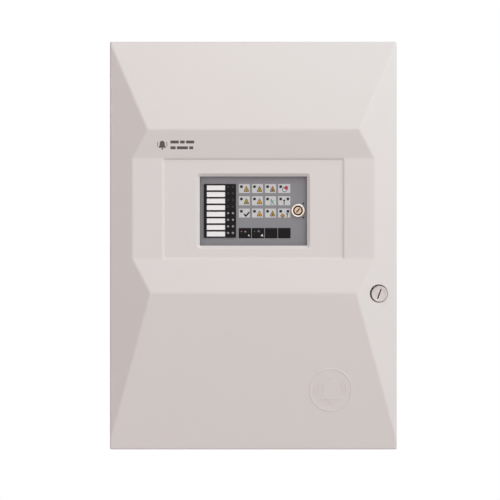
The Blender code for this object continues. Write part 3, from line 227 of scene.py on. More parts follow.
class Paint(NodeTree):
    """A material being made: its node tree, and the Principled shader that it ends in."""

    def __init__(self, name: str) -> None:
        """Start a material with a bare Principled shader."""
        self.material = bpy.data.materials.new(name)
        self.material.use_nodes = True
        super().__init__(self.material.node_tree)
        self.shader = self.tree.nodes["Principled BSDF"]

    @cached_property
    def point(self) -> Signal:
        """Place on the object in the panel's frame, which stays with the piece as it moves."""
        return self.node("ShaderNodeTexCoord", output="Object")

    def along(self, axis: str) -> Signal:
        """One coordinate of the place on the object, in metres."""
        return self.node("ShaderNodeSeparateXYZ", inputs={0: self.point}, output=axis)

    def scaled(self, size: Point3 | float) -> Signal:
        """The place on the object, in units of a size in millimetres along each axis."""
        sizes = (size,) * 3 if isinstance(size, (int, float)) else size
        factors = tuple(1.0 / (s * MM) for s in sizes)
        return self.node("ShaderNodeVectorMath", {"operation": "MULTIPLY"}, {0: self.point, 1: factors})

    def noise(self, size: Point3 | float, detail: float = 2.0, roughness: float = 0.5) -> Signal:
        """Cloudy values from 0 to 1.

        Args:
            size: Size of a cloud in millimetres, or its size along each axis.
            detail: How many finer layers lie on it.
            roughness: How strong the finer layers are.

        Returns:
            The value.
        """
        values = {"Vector": self.scaled(size), "Scale": 1.0, "Detail": detail, "Roughness": roughness}
        return self.node("ShaderNodeTexNoise", inputs=values)

    def cells(self, size: Point3 | float, output: str = "Distance") -> Signal:
        """Distance to the middle of a loose cell, or its random colour, for cells of a size in mm."""
        values = {"Vector": self.scaled(size), "Scale": 1.0}
        return self.node("ShaderNodeTexVoronoi", inputs=values, output=output)

    def blend(self, factor: Signal | float, first: Signal | Colour, second: Signal | Colour) -> Signal:
        """Mix two colours; the factor is the second one's share."""
        values = {0: factor, 6: first, 7: second}
        return self.node("ShaderNodeMix", {"data_type": "RGBA"}, values, output=2)

    def relief(self, height: Signal, depth: float, strength: float = 1.0) -> Signal:
        """Normal of a surface that rises by a depth in millimetres where the height is 1."""
        values = {"Height": height, "Distance": depth * MM, "Strength": strength}
        return self.node("ShaderNodeBump", inputs=values)

    def finished(self, **sockets: Signal | Colour | float) -> bpy.types.Material:
        """Set the shader's sockets and give the material.

        Args:
            sockets: Values or signals, named as the sockets are with _ for a space.

        Returns:
            The finished material.
        """
        for key, value in sockets.items():
            self.feed(self.shader.inputs[key.replace("_", " ")], value)
        return self.material


# ---------------------------------------------------------------- finishes


def darker(colour: Colour, share: float) -> Colour:
    """A colour with this share of its light."""
    return tuple(c * share for c in colour)


@dataclass(frozen=True)
class Finish:
    """A surface's colour and roughness; each kind of finish adds its own detail."""

    name: str
    colour: Colour
    roughness: float = 0.5
    gleam: float = 0.5

    @cached_property
    def material(self) -> bpy.types.Material:
        """The finish as a material, made once."""
        paint = Paint(self.name)
        self.build(paint)
        return paint.finished(Specular_IOR_Level=self.gleam)

    def build(self, paint: Paint) -> None:
        """Make the material's nodes.

        Args:
            paint: The new material.
        """
        raise NotImplementedError

    def sheen(
        self, paint: Paint, value: Signal, less: float, more: float, source: Span = (0.3, 0.7)
    ) -> Signal:
        """Roughness that follows a value, from a bit less to a bit more than the finish's own."""
        return paint.remap(value, source, (self.roughness - less, self.roughness + more))

    def tone(self, paint: Paint, value: Signal, first: float, second: float) -> Signal:
        """The finish's colour, from one share of its light to another as a value rises."""
        return paint.blend(value, darker(self.colour, first), darker(self.colour, second))


@dataclass(frozen=True)
class MouldedPlastic(Finish):
    """Injection-moulded plastic with a spark-eroded grain and faint flow clouds."""

    grain: float = 0.5
    depth: float = 0.012
    clouding: float = 0.985
    dust: Colour = (0.78, 0.72, 0.66)

    def build(self, paint: Paint) -> None:
        """Grain in the relief, clouds in the colour, and duller patches where it is handled.

        Args:
            paint: The new material.
        """
        clouds = paint.noise(70.0, 3.0, 0.55)
        flow = paint.noise((24.0, 24.0, 90.0), 2.0)
        grain = paint.noise(self.grain, 2.0, 0.6)
        pits = paint.cells(self.grain * 1.7)
        base = self.tone(paint, clouds, 1.0, self.clouding)
        settled = paint.remap(flow, (0.52, 0.8), (0.0, 0.05))
        base = paint.blend(settled, base, self.dust)
        gloss = self.sheen(paint, clouds + 0.5 * grain, 0.05, 0.06, (0.4, 1.1))
        normal = paint.relief(grain * 0.7 + pits * 0.5, self.depth)
        paint.finished(Base_Color=base, Roughness=gloss, Normal=normal)


@dataclass(frozen=True)
class PrintedFilm(Finish):
    """Matt polyester overlay with a fine velvet texture."""

    def build(self, paint: Paint) -> None:
        """Velvet texture with slow changes of tone.

        Args:
            paint: The new material.
        """
        velvet = paint.noise(0.22, 1.0)
        slow = paint.noise(30.0, 2.0)
        base = self.tone(paint, slow, 1.03, 0.97)
        base = paint.blend(paint.remap(velvet, (0.55, 0.75), (0.0, 0.25)), base, darker(self.colour, 0.9))
        gloss = self.sheen(paint, velvet, 0.06, 0.06)
        paint.finished(Base_Color=base, Roughness=gloss, Normal=paint.relief(velvet, 0.008))


@dataclass(frozen=True)
class Ink(Finish):
    """Screen-printed ink: an even film with pinholes and a trace of the mesh."""

    def build(self, paint: Paint) -> None:
        """Mesh marks and pinholes.

        Args:
            paint: The new material.
        """
        mesh = paint.noise(0.35, 1.0)
        thin = paint.remap(mesh, (0.62, 0.8), (0.0, 0.16))
        base = self.tone(paint, thin, 1.0, 0.75)
        gloss = self.sheen(paint, mesh, 0.05, 0.08)
        paint.finished(Base_Color=base, Roughness=gloss, Normal=paint.relief(mesh, 0.004))


@dataclass(frozen=True)
class PlatedSteel(Finish):
    """Bright zinc plate on rolled sheet: fine streaks, loose spangles and duller stains."""

    streak: Point3 = (0.25, 6.0, 6.0)
    metal: float = 0.95

    def build(self, paint: Paint) -> None:
        """Streaks in the relief, spangles in the tone, stains in the roughness.

        Args:
            paint: The new material.
        """
        streaks = paint.noise(self.streak, 2.0)
        stains = paint.noise(14.0, 4.0, 0.6)
        spangle = paint.noise(3.2, 1.0)
        tone = paint.remap(streaks * 0.5 + spangle * 0.5, (0.35, 0.65), (0.0, 1.0))
        base = self.tone(paint, tone, 0.86, 1.06)
        gloss = self.sheen(paint, stains, 0.07, 0.16, (0.35, 0.7))
        normal = paint.relief(streaks, 0.006)
        paint.finished(Base_Color=base, Roughness=gloss, Metallic=self.metal, Normal=normal)


@dataclass(frozen=True)
class PolishedMetal(Finish):
    """Polished or turned metal with hairline marks and finger bloom."""

    bloom: float = 0.1

    def build(self, paint: Paint) -> None:
        """Hairlines in the relief and bloom in the roughness.

        Args:
            paint: The new material.
        """
        hairline = paint.noise((0.09, 1.8, 1.8), 1.0)
        bloom = paint.noise(3.5, 3.0, 0.6)
        base = self.tone(paint, bloom, 1.0, 0.88)
        gloss = paint.remap(bloom, (0.35, 0.75), (self.roughness, self.roughness + self.bloom))
        normal = paint.relief(hairline, 0.0015)
        paint.finished(Base_Color=base, Roughness=gloss, Metallic=1.0, Normal=normal)


@dataclass(frozen=True)
class CircuitBoard(Finish):
    """Solder mask over copper tracks, with rows of tinned vias."""

    track_pitch: float = 2.54
    via: float = 0.42
    tinned: Colour = (0.62, 0.62, 0.6)

    def build(self, paint: Paint) -> None:
        """Tracks where loose cells say so, and vias on a coarser grid.

        Args:
            paint: The new material.
        """
        x, z = paint.along("X"), paint.along("Z")
        pitch = self.track_pitch * MM
        blocks = paint.cells((26.0, 400.0, 17.0), "Color")
        turn = paint.remap(blocks, (0.48, 0.52), (0.0, 1.0))
        across = x.from_cell(pitch / 2) * turn + z.from_cell(pitch / 2) * (1.0 - turn)
        tracks = across.below(0.2 * MM, 0.04 * MM)
        over, up = x.from_cell(2 * pitch), z.from_cell(3 * pitch)
        far = over * over + up * up
        vias = far.math("SQRT", far).below(self.via * MM, 0.05 * MM)
        base = paint.blend(tracks, self.colour, tuple(c * 1.5 + 0.012 for c in self.colour))
        base = paint.blend(vias, base, self.tinned)
        gloss = self.sheen(paint, paint.noise(9.0, 2.0), 0.06, 0.08)
        normal = paint.relief(tracks + vias, 0.035)
        paint.finished(Base_Color=base, Roughness=gloss, Metallic=vias * 0.8, Normal=normal)


@dataclass(frozen=True)
class Rubber(Finish):
    """Dull rubber with talc bloom."""

    def build(self, paint: Paint) -> None:
        """Bloom in the colour, fine pores in the relief.

        Args:
            paint: The new material.
        """
        talc = paint.noise(5.0, 4.0, 0.65)
        pores = paint.noise(0.4, 2.0)
        base = paint.blend(paint.remap(talc, (0.5, 0.8), (0.0, 0.3)), self.colour, (0.2, 0.2, 0.2))
        gloss = self.sheen(paint, talc, 0.1, 0.1)
        paint.finished(Base_Color=base, Roughness=gloss, Normal=paint.relief(pores, 0.03))


@dataclass(frozen=True)
class LightGuide(Finish):
    """Clear moulded light guide, dark or milky with its lamp off."""

    def build(self, paint: Paint) -> None:
        """Slight swirl in the tint under a glossy skin.

        Args:
            paint: The new material.
        """
        swirl = paint.noise(0.9, 2.0)
        base = self.tone(paint, swirl, 0.8, 1.15)
        gloss = self.sheen(paint, swirl, 0.0, 0.08)
        paint.finished(Base_Color=base, Roughness=gloss, Coat_Weight=0.5, Coat_Roughness=0.08)


@dataclass(frozen=True)
class Laminations(Finish):
    """Stack of varnished iron sheets, cut edges outwards."""

    sheet: float = 0.5

    def build(self, paint: Paint) -> None:
        """Sheet edges as lines across the depth, with varnish stains and rust specks.

        Args:
            paint: The new material.
        """
        gap = paint.along("Y").from_cell(self.sheet * MM).below(0.06 * MM, 0.03 * MM)
        varnish = paint.noise(6.0, 3.0)
        rust = paint.remap(paint.noise(1.6, 3.0, 0.7), (0.62, 0.74), (0.0, 0.55))
        base = self.tone(paint, varnish, 1.0, 0.7)
        base = paint.blend(rust, base, tint(104, 66, 44))
        base = paint.blend(gap * 0.7, base, darker(self.colour, 0.25))
        gloss = self.sheen(paint, varnish, 0.12, 0.1)
        normal = paint.relief(1.0 - gap, 0.05)
        paint.finished(Base_Color=base, Roughness=gloss, Metallic=0.5, Normal=normal)


@dataclass(frozen=True)
class WoundTape(Finish):
    """Polyester tape wound around a coil: overlapping turns and wrinkles."""

    turn: float = 9.0

    def build(self, paint: Paint) -> None:
        """Tape edges across the height, with wrinkles between them.

        Args:
            paint: The new material.
        """
        wrinkles = paint.noise((9.0, 9.0, 1.2), 3.0)
        height = paint.along("Z") + wrinkles * (0.5 * MM)
        edge = height.from_cell(self.turn * MM).below(0.14 * MM, 0.08 * MM)
        base = self.tone(paint, wrinkles, 1.0, 0.78)
        base = paint.blend(edge * 0.6, base, darker(self.colour, 0.4))
        gloss = self.sheen(paint, wrinkles, 0.1, 0.12)
        paint.finished(Base_Color=base, Roughness=gloss, Normal=paint.relief(wrinkles - edge, 0.15))


@dataclass(frozen=True)
class Sleeve(Finish):
    """Shrunk sleeve on a capacitor, with a pale polarity stripe down one side."""

    stripe_x: float = 0.0
    stripe: Colour = (0.7, 0.7, 0.72)

    def build(self, paint: Paint) -> None:
        """Stripe by place, creases in the relief.

        Args:
            paint: The new material.
        """
        band = abs(paint.along("X") - self.stripe_x).below(1.8 * MM, 0.1 * MM)
        creases = paint.noise((1.4, 12.0, 1.4), 2.0)
        base = paint.blend(band, self.colour, self.stripe)
        gloss = self.sheen(paint, creases, 0.08, 0.1)
        paint.finished(Base_Color=base, Roughness=gloss, Normal=paint.relief(creases, 0.04))


@dataclass(frozen=True)
class Insulation(Finish):
    """Extruded wire insulation with a faint waxy mottle."""

    def build(self, paint: Paint) -> None:
        """Mottle in tone and gloss.

        Args:
            paint: The new material.
        """
        wax = paint.noise(2.2, 3.0)
        base = self.tone(paint, wax, 1.1, 0.78)
        gloss = self.sheen(paint, wax, 0.1, 0.12)
        paint.finished(Base_Color=base, Roughness=gloss, Normal=paint.relief(wax, 0.02))


@dataclass(frozen=True)
class FlatCable(Finish):
    """Ribbed flat cable with a red edge, between two black connectors."""

    plugs: tuple[Span, Span] = ((0.0, 0.0), (0.0, 0.0))
    edge_x: float = 0.0
    way: float = 1.27

    def build(self, paint: Paint) -> None:
        """Ribs across the width with painted shade in the grooves between them, the red edge, and the
        connectors by their depth.

        Args:
            paint: The new material.
        """
        x, y = paint.along("X"), paint.along("Y")
        rib = x.from_cell(self.way * MM) / (self.way * MM / 2)
        front, back = self.plugs
        plug = (y.below(front[1], 0.05 * MM) + (1.0 - y.below(back[0], 0.05 * MM))).at_most(1.0)
        edge = x.below(self.edge_x + self.way * MM, 0.08 * MM)
        # Painted shade: the colour darkens towards the grooves between the ribs.
        base = paint.blend(rib * 0.5, self.colour, darker(self.colour, 0.5))
        base = paint.blend(edge, base, tint(168, 40, 36))
        base = paint.blend(plug, base, tint(34, 34, 36))
        normal = paint.relief((1.0 - rib) * (1.0 - plug), 0.3)
        paint.finished(Base_Color=base, Roughness=self.roughness, Normal=normal)


OFF_WHITE = MouldedPlastic("moulded_off_white", tint(230, 221, 219), 0.5)
PLUG_WHITE = MouldedPlastic("lock_plug_white", tint(226, 216, 214), 0.42, grain=0.3, depth=0.006)
KEY_BLACK = MouldedPlastic("key_black", tint(26, 23, 24), 0.5, 0.15, 0.25, 0.01, dust=(0.03, 0.03, 0.03))
RELAY_BLACK = MouldedPlastic("relay_black", tint(30, 30, 32), 0.38, grain=0.4, dust=(0.06, 0.06, 0.06))
CASE_DUST = (0.2, 0.19, 0.18)
CASE_GREY = MouldedPlastic("battery_case_grey", tint(56, 57, 61), 0.55, 0.5, 0.7, 0.03, dust=CASE_DUST)
TERMINAL_GREEN = MouldedPlastic("terminal_green", tint(44, 128, 66), 0.45, grain=0.3, dust=(0.3, 0.5, 0.3))
CHIP_GREY = MouldedPlastic("chip_epoxy", tint(38, 38, 40), 0.6, 0.5, 0.15, 0.01, dust=(0.08, 0.08, 0.08))
FASCIA_GREY = PrintedFilm("fascia_grey_film", tint(141, 139, 143), 0.55)
MASK_BLACK = PrintedFilm("zone_mask_black", tint(28, 25, 26), 0.5, 0.15)
LABEL_CARD = Ink("label_card_white", tint(250, 246, 246), 0.7)
TILE_INK = Ink("tile_pale_grey", tint(208, 205, 206), 0.55)
DARK_INK = Ink("symbol_black", tint(26, 25, 28), 0.5, 0.15)
# Dark ink that is painted shade in the lock's slot and in the key switch's recess and keyway.
DEEP_SHADE = Ink("painted_shade_dark_brown", tint(40, 28, 22), 0.7, 0.1)
DOT_INK = Ink("light_window_dark", tint(40, 40, 46), 0.5, 0.2)
BORDER_INK = Ink("warning_border_brown", tint(94, 72, 34), 0.5, 0.3)
AMBER_INK = Ink("warning_amber", tint(224, 174, 62), 0.5)
YELLOW_INK = Ink("warning_yellow", tint(186, 166, 58), 0.5)
ORANGE_INK = Ink("warning_orange", tint(196, 140, 56), 0.5)
RED_INK = Ink("sounder_red", tint(178, 52, 76), 0.5)
PINK_INK = Ink("key_mark_pink", tint(176, 140, 134), 0.5)
WHITE_INK = Ink("mark_white", tint(224, 222, 222), 0.5)
SLATE_INK = Ink("outline_slate", tint(106, 112, 118), 0.5)
GREEN_INK = Ink("exit_green", tint(46, 134, 96), 0.5)
MARK_INK = Ink("door_mark_brown", tint(98, 88, 88), 0.5)
ZINC = PlatedSteel("zinc_plate", tint(190, 192, 194), 0.34)
SCREW_STEEL = PlatedSteel("screw_steel", tint(176, 178, 182), 0.3, streak=(1.0, 1.0, 0.3))
ALUMINIUM = PlatedSteel("black_anodised", tint(58, 60, 64), 0.42, metal=0.6)
TINNED = PolishedMetal("tinned_lead", tint(204, 204, 200), 0.3)
CHROME = PolishedMetal("warm_chrome", tint(255, 244, 234), 0.16)
BRASS = PolishedMetal("key_rotor_brass", tint(226, 202, 176), 0.34)
BOARD_GREEN = CircuitBoard("solder_mask_green", tint(20, 76, 46), 0.38)
# Rubber of the grommets, also used for the dark washer that is painted shade in the lock's gap.
RUBBER_AND_GAP_SHADE = Rubber("grommet_rubber", tint(40, 40, 42), 0.75)
GUIDE_DARK = LightGuide("light_guide_dark", tint(46, 43, 44), 0.3, 0.2)
GUIDE_MILKY = LightGuide("light_guide_milky", tint(166, 161, 160), 0.3)
GUIDE_STATUS = LightGuide("light_guide_status", tint(34, 34, 40), 0.3, 0.2)
IRON = Laminations("transformer_iron", tint(86, 84, 84), 0.5)
TAPE = WoundTape("winding_tape", tint(200, 166, 74), 0.42)
RED_WIRE = Insulation("red_insulation", tint(176, 32, 28), 0.42)
BLACK_WIRE = Insulation("black_insulation", tint(30, 30, 32), 0.42)
BLUE_WIRE = Insulation("blue_insulation", tint(40, 66, 140), 0.42)
RESISTOR_BEIGE = MouldedPlastic("resistor_beige", tint(196, 168, 124), 0.5, grain=0.2, dust=(0.5, 0.4, 0.3))


# ---------------------------------------------------------------- drawing tools


class Axis(Enum):
    """Direction that an outline is drawn out along."""

    X = "x"
    Y = "y"
    Z = "z"

    def point(self, a: float, b: float, t: float) -> Point3:
        """Put an outline's point in the frame.

        Args:
            a: First of the two coordinates across the axis, in alphabetical order.
            b: Second of them.
            t: Place along the axis.

        Returns:
            The point.
        """
        return {Axis.X: (t, a, b), Axis.Y: (a, t, b), Axis.Z: (a, b, t)}[self]


class Cut(Enum):
    """What a tool does to a piece."""

    AWAY = "DIFFERENCE"
    JOIN = "UNION"


def about(centre: float, size: float) -> Span:
    """Lowest and highest value of a span around a centre."""
    return centre - size / 2, centre + size / 2


def grown(span: Span, margin: float) -> Span:
    """A span made longer at both ends."""
    return span[0] - margin, span[1] + margin


def middle(span: Span) -> float:
    """The middle of a span."""
    return (span[0] + span[1]) / 2


def length(span: Span) -> float:
    """The length of a span."""
    return span[1] - span[0]


def reach(node: str, axis: Axis) -> Span:
    """The span that a CAD node takes along an axis."""
    low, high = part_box(node)
    return getattr(low, axis.value), getattr(high, axis.value)


def centre(node: str) -> Point2:
    """The middle of a CAD node, seen from the door's side."""
    return middle(reach(node, Axis.X)), middle(reach(node, Axis.Z))


def arc(centre_at: Point2, radius: float, first: float, last: float, steps: int = 8) -> list[Point2]:
    """Points of an arc.

    Args:
        centre_at: Its centre.
        radius: Its radius.
        first: First angle, in degrees.
        last: Last angle, in degrees.
        steps: Number of pieces.

    Returns:
        The points in order.
    """
    angles = (math.radians(first + (last - first) * i / steps) for i in range(steps + 1))
    return [(centre_at[0] + radius * math.cos(a), centre_at[1] + radius * math.sin(a)) for a in angles]


def circle(centre_at: Point2, radius: float, sides: int = 32) -> list[Point2]:
    """Outline of a circle."""
    return arc(centre_at, radius, 0, 360 * (sides - 1) / sides, sides - 1)


def rounded(a: Span, b: Span, radius: float, steps: int = 5) -> list[Point2]:
    """Outline of a rectangle with round corners.

    Args:
        a: Its span along the first coordinate.
        b: Its span along the second.
        radius: Radius of the corners.
        steps: Pieces to a corner.

    Returns:
        The points, counter-clockwise.
    """
    (left, right), (low, high) = grown(a, -radius), grown(b, -radius)
    corners = (((right, low), -90), ((right, high), 0), ((left, high), 90), ((left, low), 180))
    return sum((arc(place, radius, first, first + 90, steps) for place, first in corners), [])


def turns(at: float, *steps: Point2) -> list[Point2]:
    """Steps of a turned profile, given as millimetres of radius and of way from a place on its axis."""
    return [(radius * MM, at + way * MM) for radius, way in steps]


def moved(outline: Iterable[Point2], by: Point2, turn: float = 0.0, scale: float = 1.0) -> list[Point2]:
    """An outline turned by some degrees about its own origin, scaled, and moved."""
    cos, sin = math.cos(math.radians(turn)) * scale, math.sin(math.radians(turn)) * scale
    return [(by[0] + x * cos - z * sin, by[1] + x * sin + z * cos) for x, z in outline]


def linked(name: str, data: bpy.types.ID) -> bpy.types.Object:
    """Put a mesh, a lamp or a camera in the scene as an object."""
    thing = bpy.data.objects.new(name, data)
    bpy.context.scene.collection.objects.link(thing)
    return thing


def placed(mesh: bmesh.types.BMesh, name: str) -> bpy.types.Object:
    """Turn an edited mesh into an object and free it.

    Args:
        mesh: The edited mesh.
        name: The object's name.

    Returns:
        The object, not yet riding on anything.
    """
    data = bpy.data.meshes.new(name)
    mesh.to_mesh(data)
    mesh.free()
    return linked(name, data)


def tilted(at: Point2, size: Point2, corner: float, turn: float, steps: int = 3) -> list[Point2]:
    """Outline of a rectangle with round corners, turned by some degrees about its middle at a place."""
    return moved(rounded(about(0, size[0]), about(0, size[1]), corner, steps), at, turn)


class Form:
    """Closed shapes drawn into one mesh, in the panel's frame."""

    def __init__(self) -> None:
        """Start with nothing drawn."""
        self.mesh = bmesh.new()

    def loft(self, loops: Sequence[Sequence[Point3]], closed: bool = False) -> Form:
        """Join loops of points.

        Args:
            loops: Loops with the same number of points, in order.
            closed: Join the last loop to the first instead of capping the ends.

        Returns:
            The form.
        """
        rings = [[self.mesh.verts.new(p) for p in loop] for loop in loops]
        pairs = list(zip(rings, rings[1:]))
        if closed:
            pairs.append((rings[-1], rings[0]))
        else:
            self.mesh.faces.new(rings[0])
            self.mesh.faces.new(reversed(rings[-1]))
        for a, b in pairs:
            for i in range(len(a)):
                self.mesh.faces.new((a[i - 1], a[i], b[i], b[i - 1]))
        return self

    def sheet(self, *faces: Sequence[Point3]) -> Form:
        """Draw single faces."""
        for face in faces:
            self.mesh.faces.new([self.mesh.verts.new(p) for p in face])
        return self

    def prism(self, outline: Sequence[Point2], span: Span, axis: Axis = Axis.Y) -> Form:
        """Draw an outline out along an axis."""
        return self.loft([[axis.point(a, b, t) for a, b in outline] for t in span])

    def box(self, x: Span, y: Span, z: Span) -> Form:
        """Draw a box."""
        return self.prism([(x[0], z[0]), (x[1], z[0]), (x[1], z[1]), (x[0], z[1])], y)

    def rod(self, at: Point2, radius: float, span: Span, axis: Axis = Axis.Y, sides: int = 32) -> Form:
        """Draw a round bar."""
        return self.prism(circle(at, radius, sides), span, axis)

    def turned(
        self,
        at: Point2,
        profile: Sequence[Point2],
        axis: Axis = Axis.Y,
        sides: int = 48,
        closed: bool = False,
    ) -> Form:
        """Draw a solid of revolution.

        Args:
            at: Where its axis stands.
            profile: Steps of radius and place along the axis.
            axis: Direction of its axis.
            sides: Number of sides.
            closed: The profile is a loop, so the solid is a ring.

        Returns:
            The form.
        """
        loops = [[axis.point(a, b, t) for a, b in circle(at, r, sides)] for r, t in profile]
        return self.loft(loops, closed)

    def stroke(self, points: Sequence[Point2], width: float, span: Span) -> Form:
        """Draw a line of even width with round ends, as one mitred outline.

        Args:
            points: Where it passes.
            width: Its width.
            span: Its span of depth.

        Returns:
            The form.
        """
        half = width / 2
        legs = zip(points, points[1:])
        angles = [math.degrees(math.atan2(z1 - z0, x1 - x0)) for (x0, z0), (x1, z1) in legs]
        left, right = [], []
        for (x, z), before, after in zip(points[1:-1], angles, angles[1:]):
            bend = math.radians((after - before + 180) % 360 - 180) / 2
            lean = math.radians(before + 90) + bend
            reach_out = half / max(math.cos(bend), 0.5)
            step = (reach_out * math.cos(lean), reach_out * math.sin(lean))
            left.append((x + step[0], z + step[1]))
            right.append((x - step[0], z - step[1]))
        end = arc(points[-1], half, angles[-1] + 90, angles[-1] - 90, 6)
        start = arc(points[0], half, angles[0] - 90, angles[0] - 270, 6)
        return self.prism([*left, *end, *reversed(right), *start], span)

    def tube(self, path: Sequence[Point3], radius: float, sides: int = 10) -> Form:
        """Draw a round wire.

        Args:
            path: Its path.
            radius: Its radius.
            sides: Number of sides.

        Returns:
            The form.
        """
        loops = []
        for i, here in enumerate(path):
            ahead = Vector(path[min(i + 1, len(path) - 1)]) - Vector(path[max(i - 1, 0)])
            turn = ahead.to_track_quat("Z", "Y")
            ring = (Vector((a, b, 0)) for a, b in circle((0, 0), radius, sides))
            loops.append([tuple(Vector(here) + turn @ corner) for corner in ring])
        return self.loft(loops)

    def done(self, name: str) -> bpy.types.Object:
        """Turn the form into an object.

        Args:
            name: The object's name.

        Returns:
            The object, not yet riding on anything.
        """
        bmesh.ops.remove_doubles(self.mesh, verts=self.mesh.verts, dist=1e-7)
        bmesh.ops.recalc_face_normals(self.mesh, faces=self.mesh.faces)
        return placed(self.mesh, name)


Pen = tuple[Form, Span]


def settle(thing: bpy.types.Object) -> None:
    """Make a piece's modifiers part of its mesh."""
    graph = bpy.context.evaluated_depsgraph_get()
    data = bpy.data.meshes.new_from_object(thing.evaluated_get(graph))
    thing.modifiers.clear()
    thing.data = data


def worked(thing: bpy.types.Object, steps: Sequence[tuple[Cut, Form]]) -> bpy.types.Object:
    """Join tools to a piece or cut them from it, in turn.

    Args:
        thing: The piece.
        steps: What each tool does.

    Returns:
        The piece, with one settled mesh.
    """
    tools = []
    for number, (cut, form) in enumerate(steps):
        tool = form.done(f"{thing.name}_tool_{number}")
        modifier = thing.modifiers.new("cut", "BOOLEAN")
        modifier.operation = cut.value
        modifier.solver = "EXACT"
        modifier.object = tool
        tools.append(tool)
    settle(thing)
    for tool in tools:
        bpy.data.objects.remove(tool, do_unlink=True)
    return thing


def level_faces(thing: bpy.types.Object) -> None:
    """Let the large faces rule the shading, so that they stay flat."""
    even = thing.modifiers.new("level faces", "WEIGHTED_NORMAL")
    even.keep_sharp = True
    even.weight = 100


def eased(thing: bpy.types.Object, width: float, angle: float = 30.0) -> bpy.types.Object:
    """Round a piece's edges a little, with flat faces left flat.

    Args:
        thing: The piece.
        width: Width of the rounding, or 0 for none.
        angle: Edges sharper than this, in degrees, are rounded or kept sharp.

    Returns:
        The piece.
    """
    thing.data.shade_smooth()
    if width:
        bevel = thing.modifiers.new("eased edges", "BEVEL")
        bevel.width = width
        bevel.segments = 2
        bevel.limit_method = "ANGLE"
        bevel.angle_limit = math.radians(angle)
        level_faces(thing)
    else:
        thing.data.set_sharp_from_angle(angle=math.radians(angle))
    return thing


def present(
    thing: bpy.types.Object, finish: Finish, body: str, stands_for: Sequence[str] = ()
) -> None:
    """Dress a new piece and let it ride.

    Args:
        thing: The piece.
        finish: Its surface.
        body: The body it moves with.
        stands_for: CAD nodes that it is shown instead of.
    """
    thing.data.materials.clear()
    thing.data.materials.append(finish.material)
    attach(thing, body)
    if stands_for:
        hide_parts(*stands_for)
    log.info("%s: %s on %s", thing.name, finish.name, body)


def show(
    form: Form,
    name: str,
    finish: Finish,
    body: str = "root",
    width: float = 0.0,
    angle: float = 30.0,
    stands_for: Sequence[str] = (),
) -> None:
    """Turn a form into a dressed piece with eased edges.

    Args:
        form: What was drawn.
        name: The piece's name.
        finish: Its surface.
        body: The body it moves with.
        width: Width of the edges' rounding.
        angle: Edges sharper than this, in degrees, are rounded or kept sharp.
        stands_for: CAD nodes that it is shown instead of.
    """
    present(eased(form.done(name), width, angle), finish, body, stands_for)


def dress(finish: Finish, *nodes: str) -> None:
    """Give CAD nodes that stay as they are their finish.

    Args:
        finish: Their surface.
        nodes: The nodes' names.
    """
    for node in nodes:
        for held in frame["nodes"][node].material_slots:
            held.material = finish.material
        log.info("%s: %s", node, finish.name)


def softened(
    node: str, name: str, finish: Finish, width: float, angle: float = 30.0
) -> None:
    """Show a CAD node as the same shape with eased edges.

    Args:
        node: The CAD node.
        name: The new piece's name.
        finish: Its surface.
        width: Width of the edges' rounding.
        angle: Edges sharper than this, in degrees, are rounded.
    """
    mesh = bmesh.new()
    mesh.from_mesh(frame["nodes"][node].data)
    bmesh.ops.remove_doubles(mesh, verts=mesh.verts, dist=2e-6)
    bmesh.ops.dissolve_limit(mesh, angle_limit=math.radians(1.0), verts=mesh.verts, edges=mesh.edges)
    thing = eased(placed(mesh, name), width, angle)
    present(thing, finish, frame["nodes"][node]["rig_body"], [node])


# ---------------------------------------------------------------- enclosure


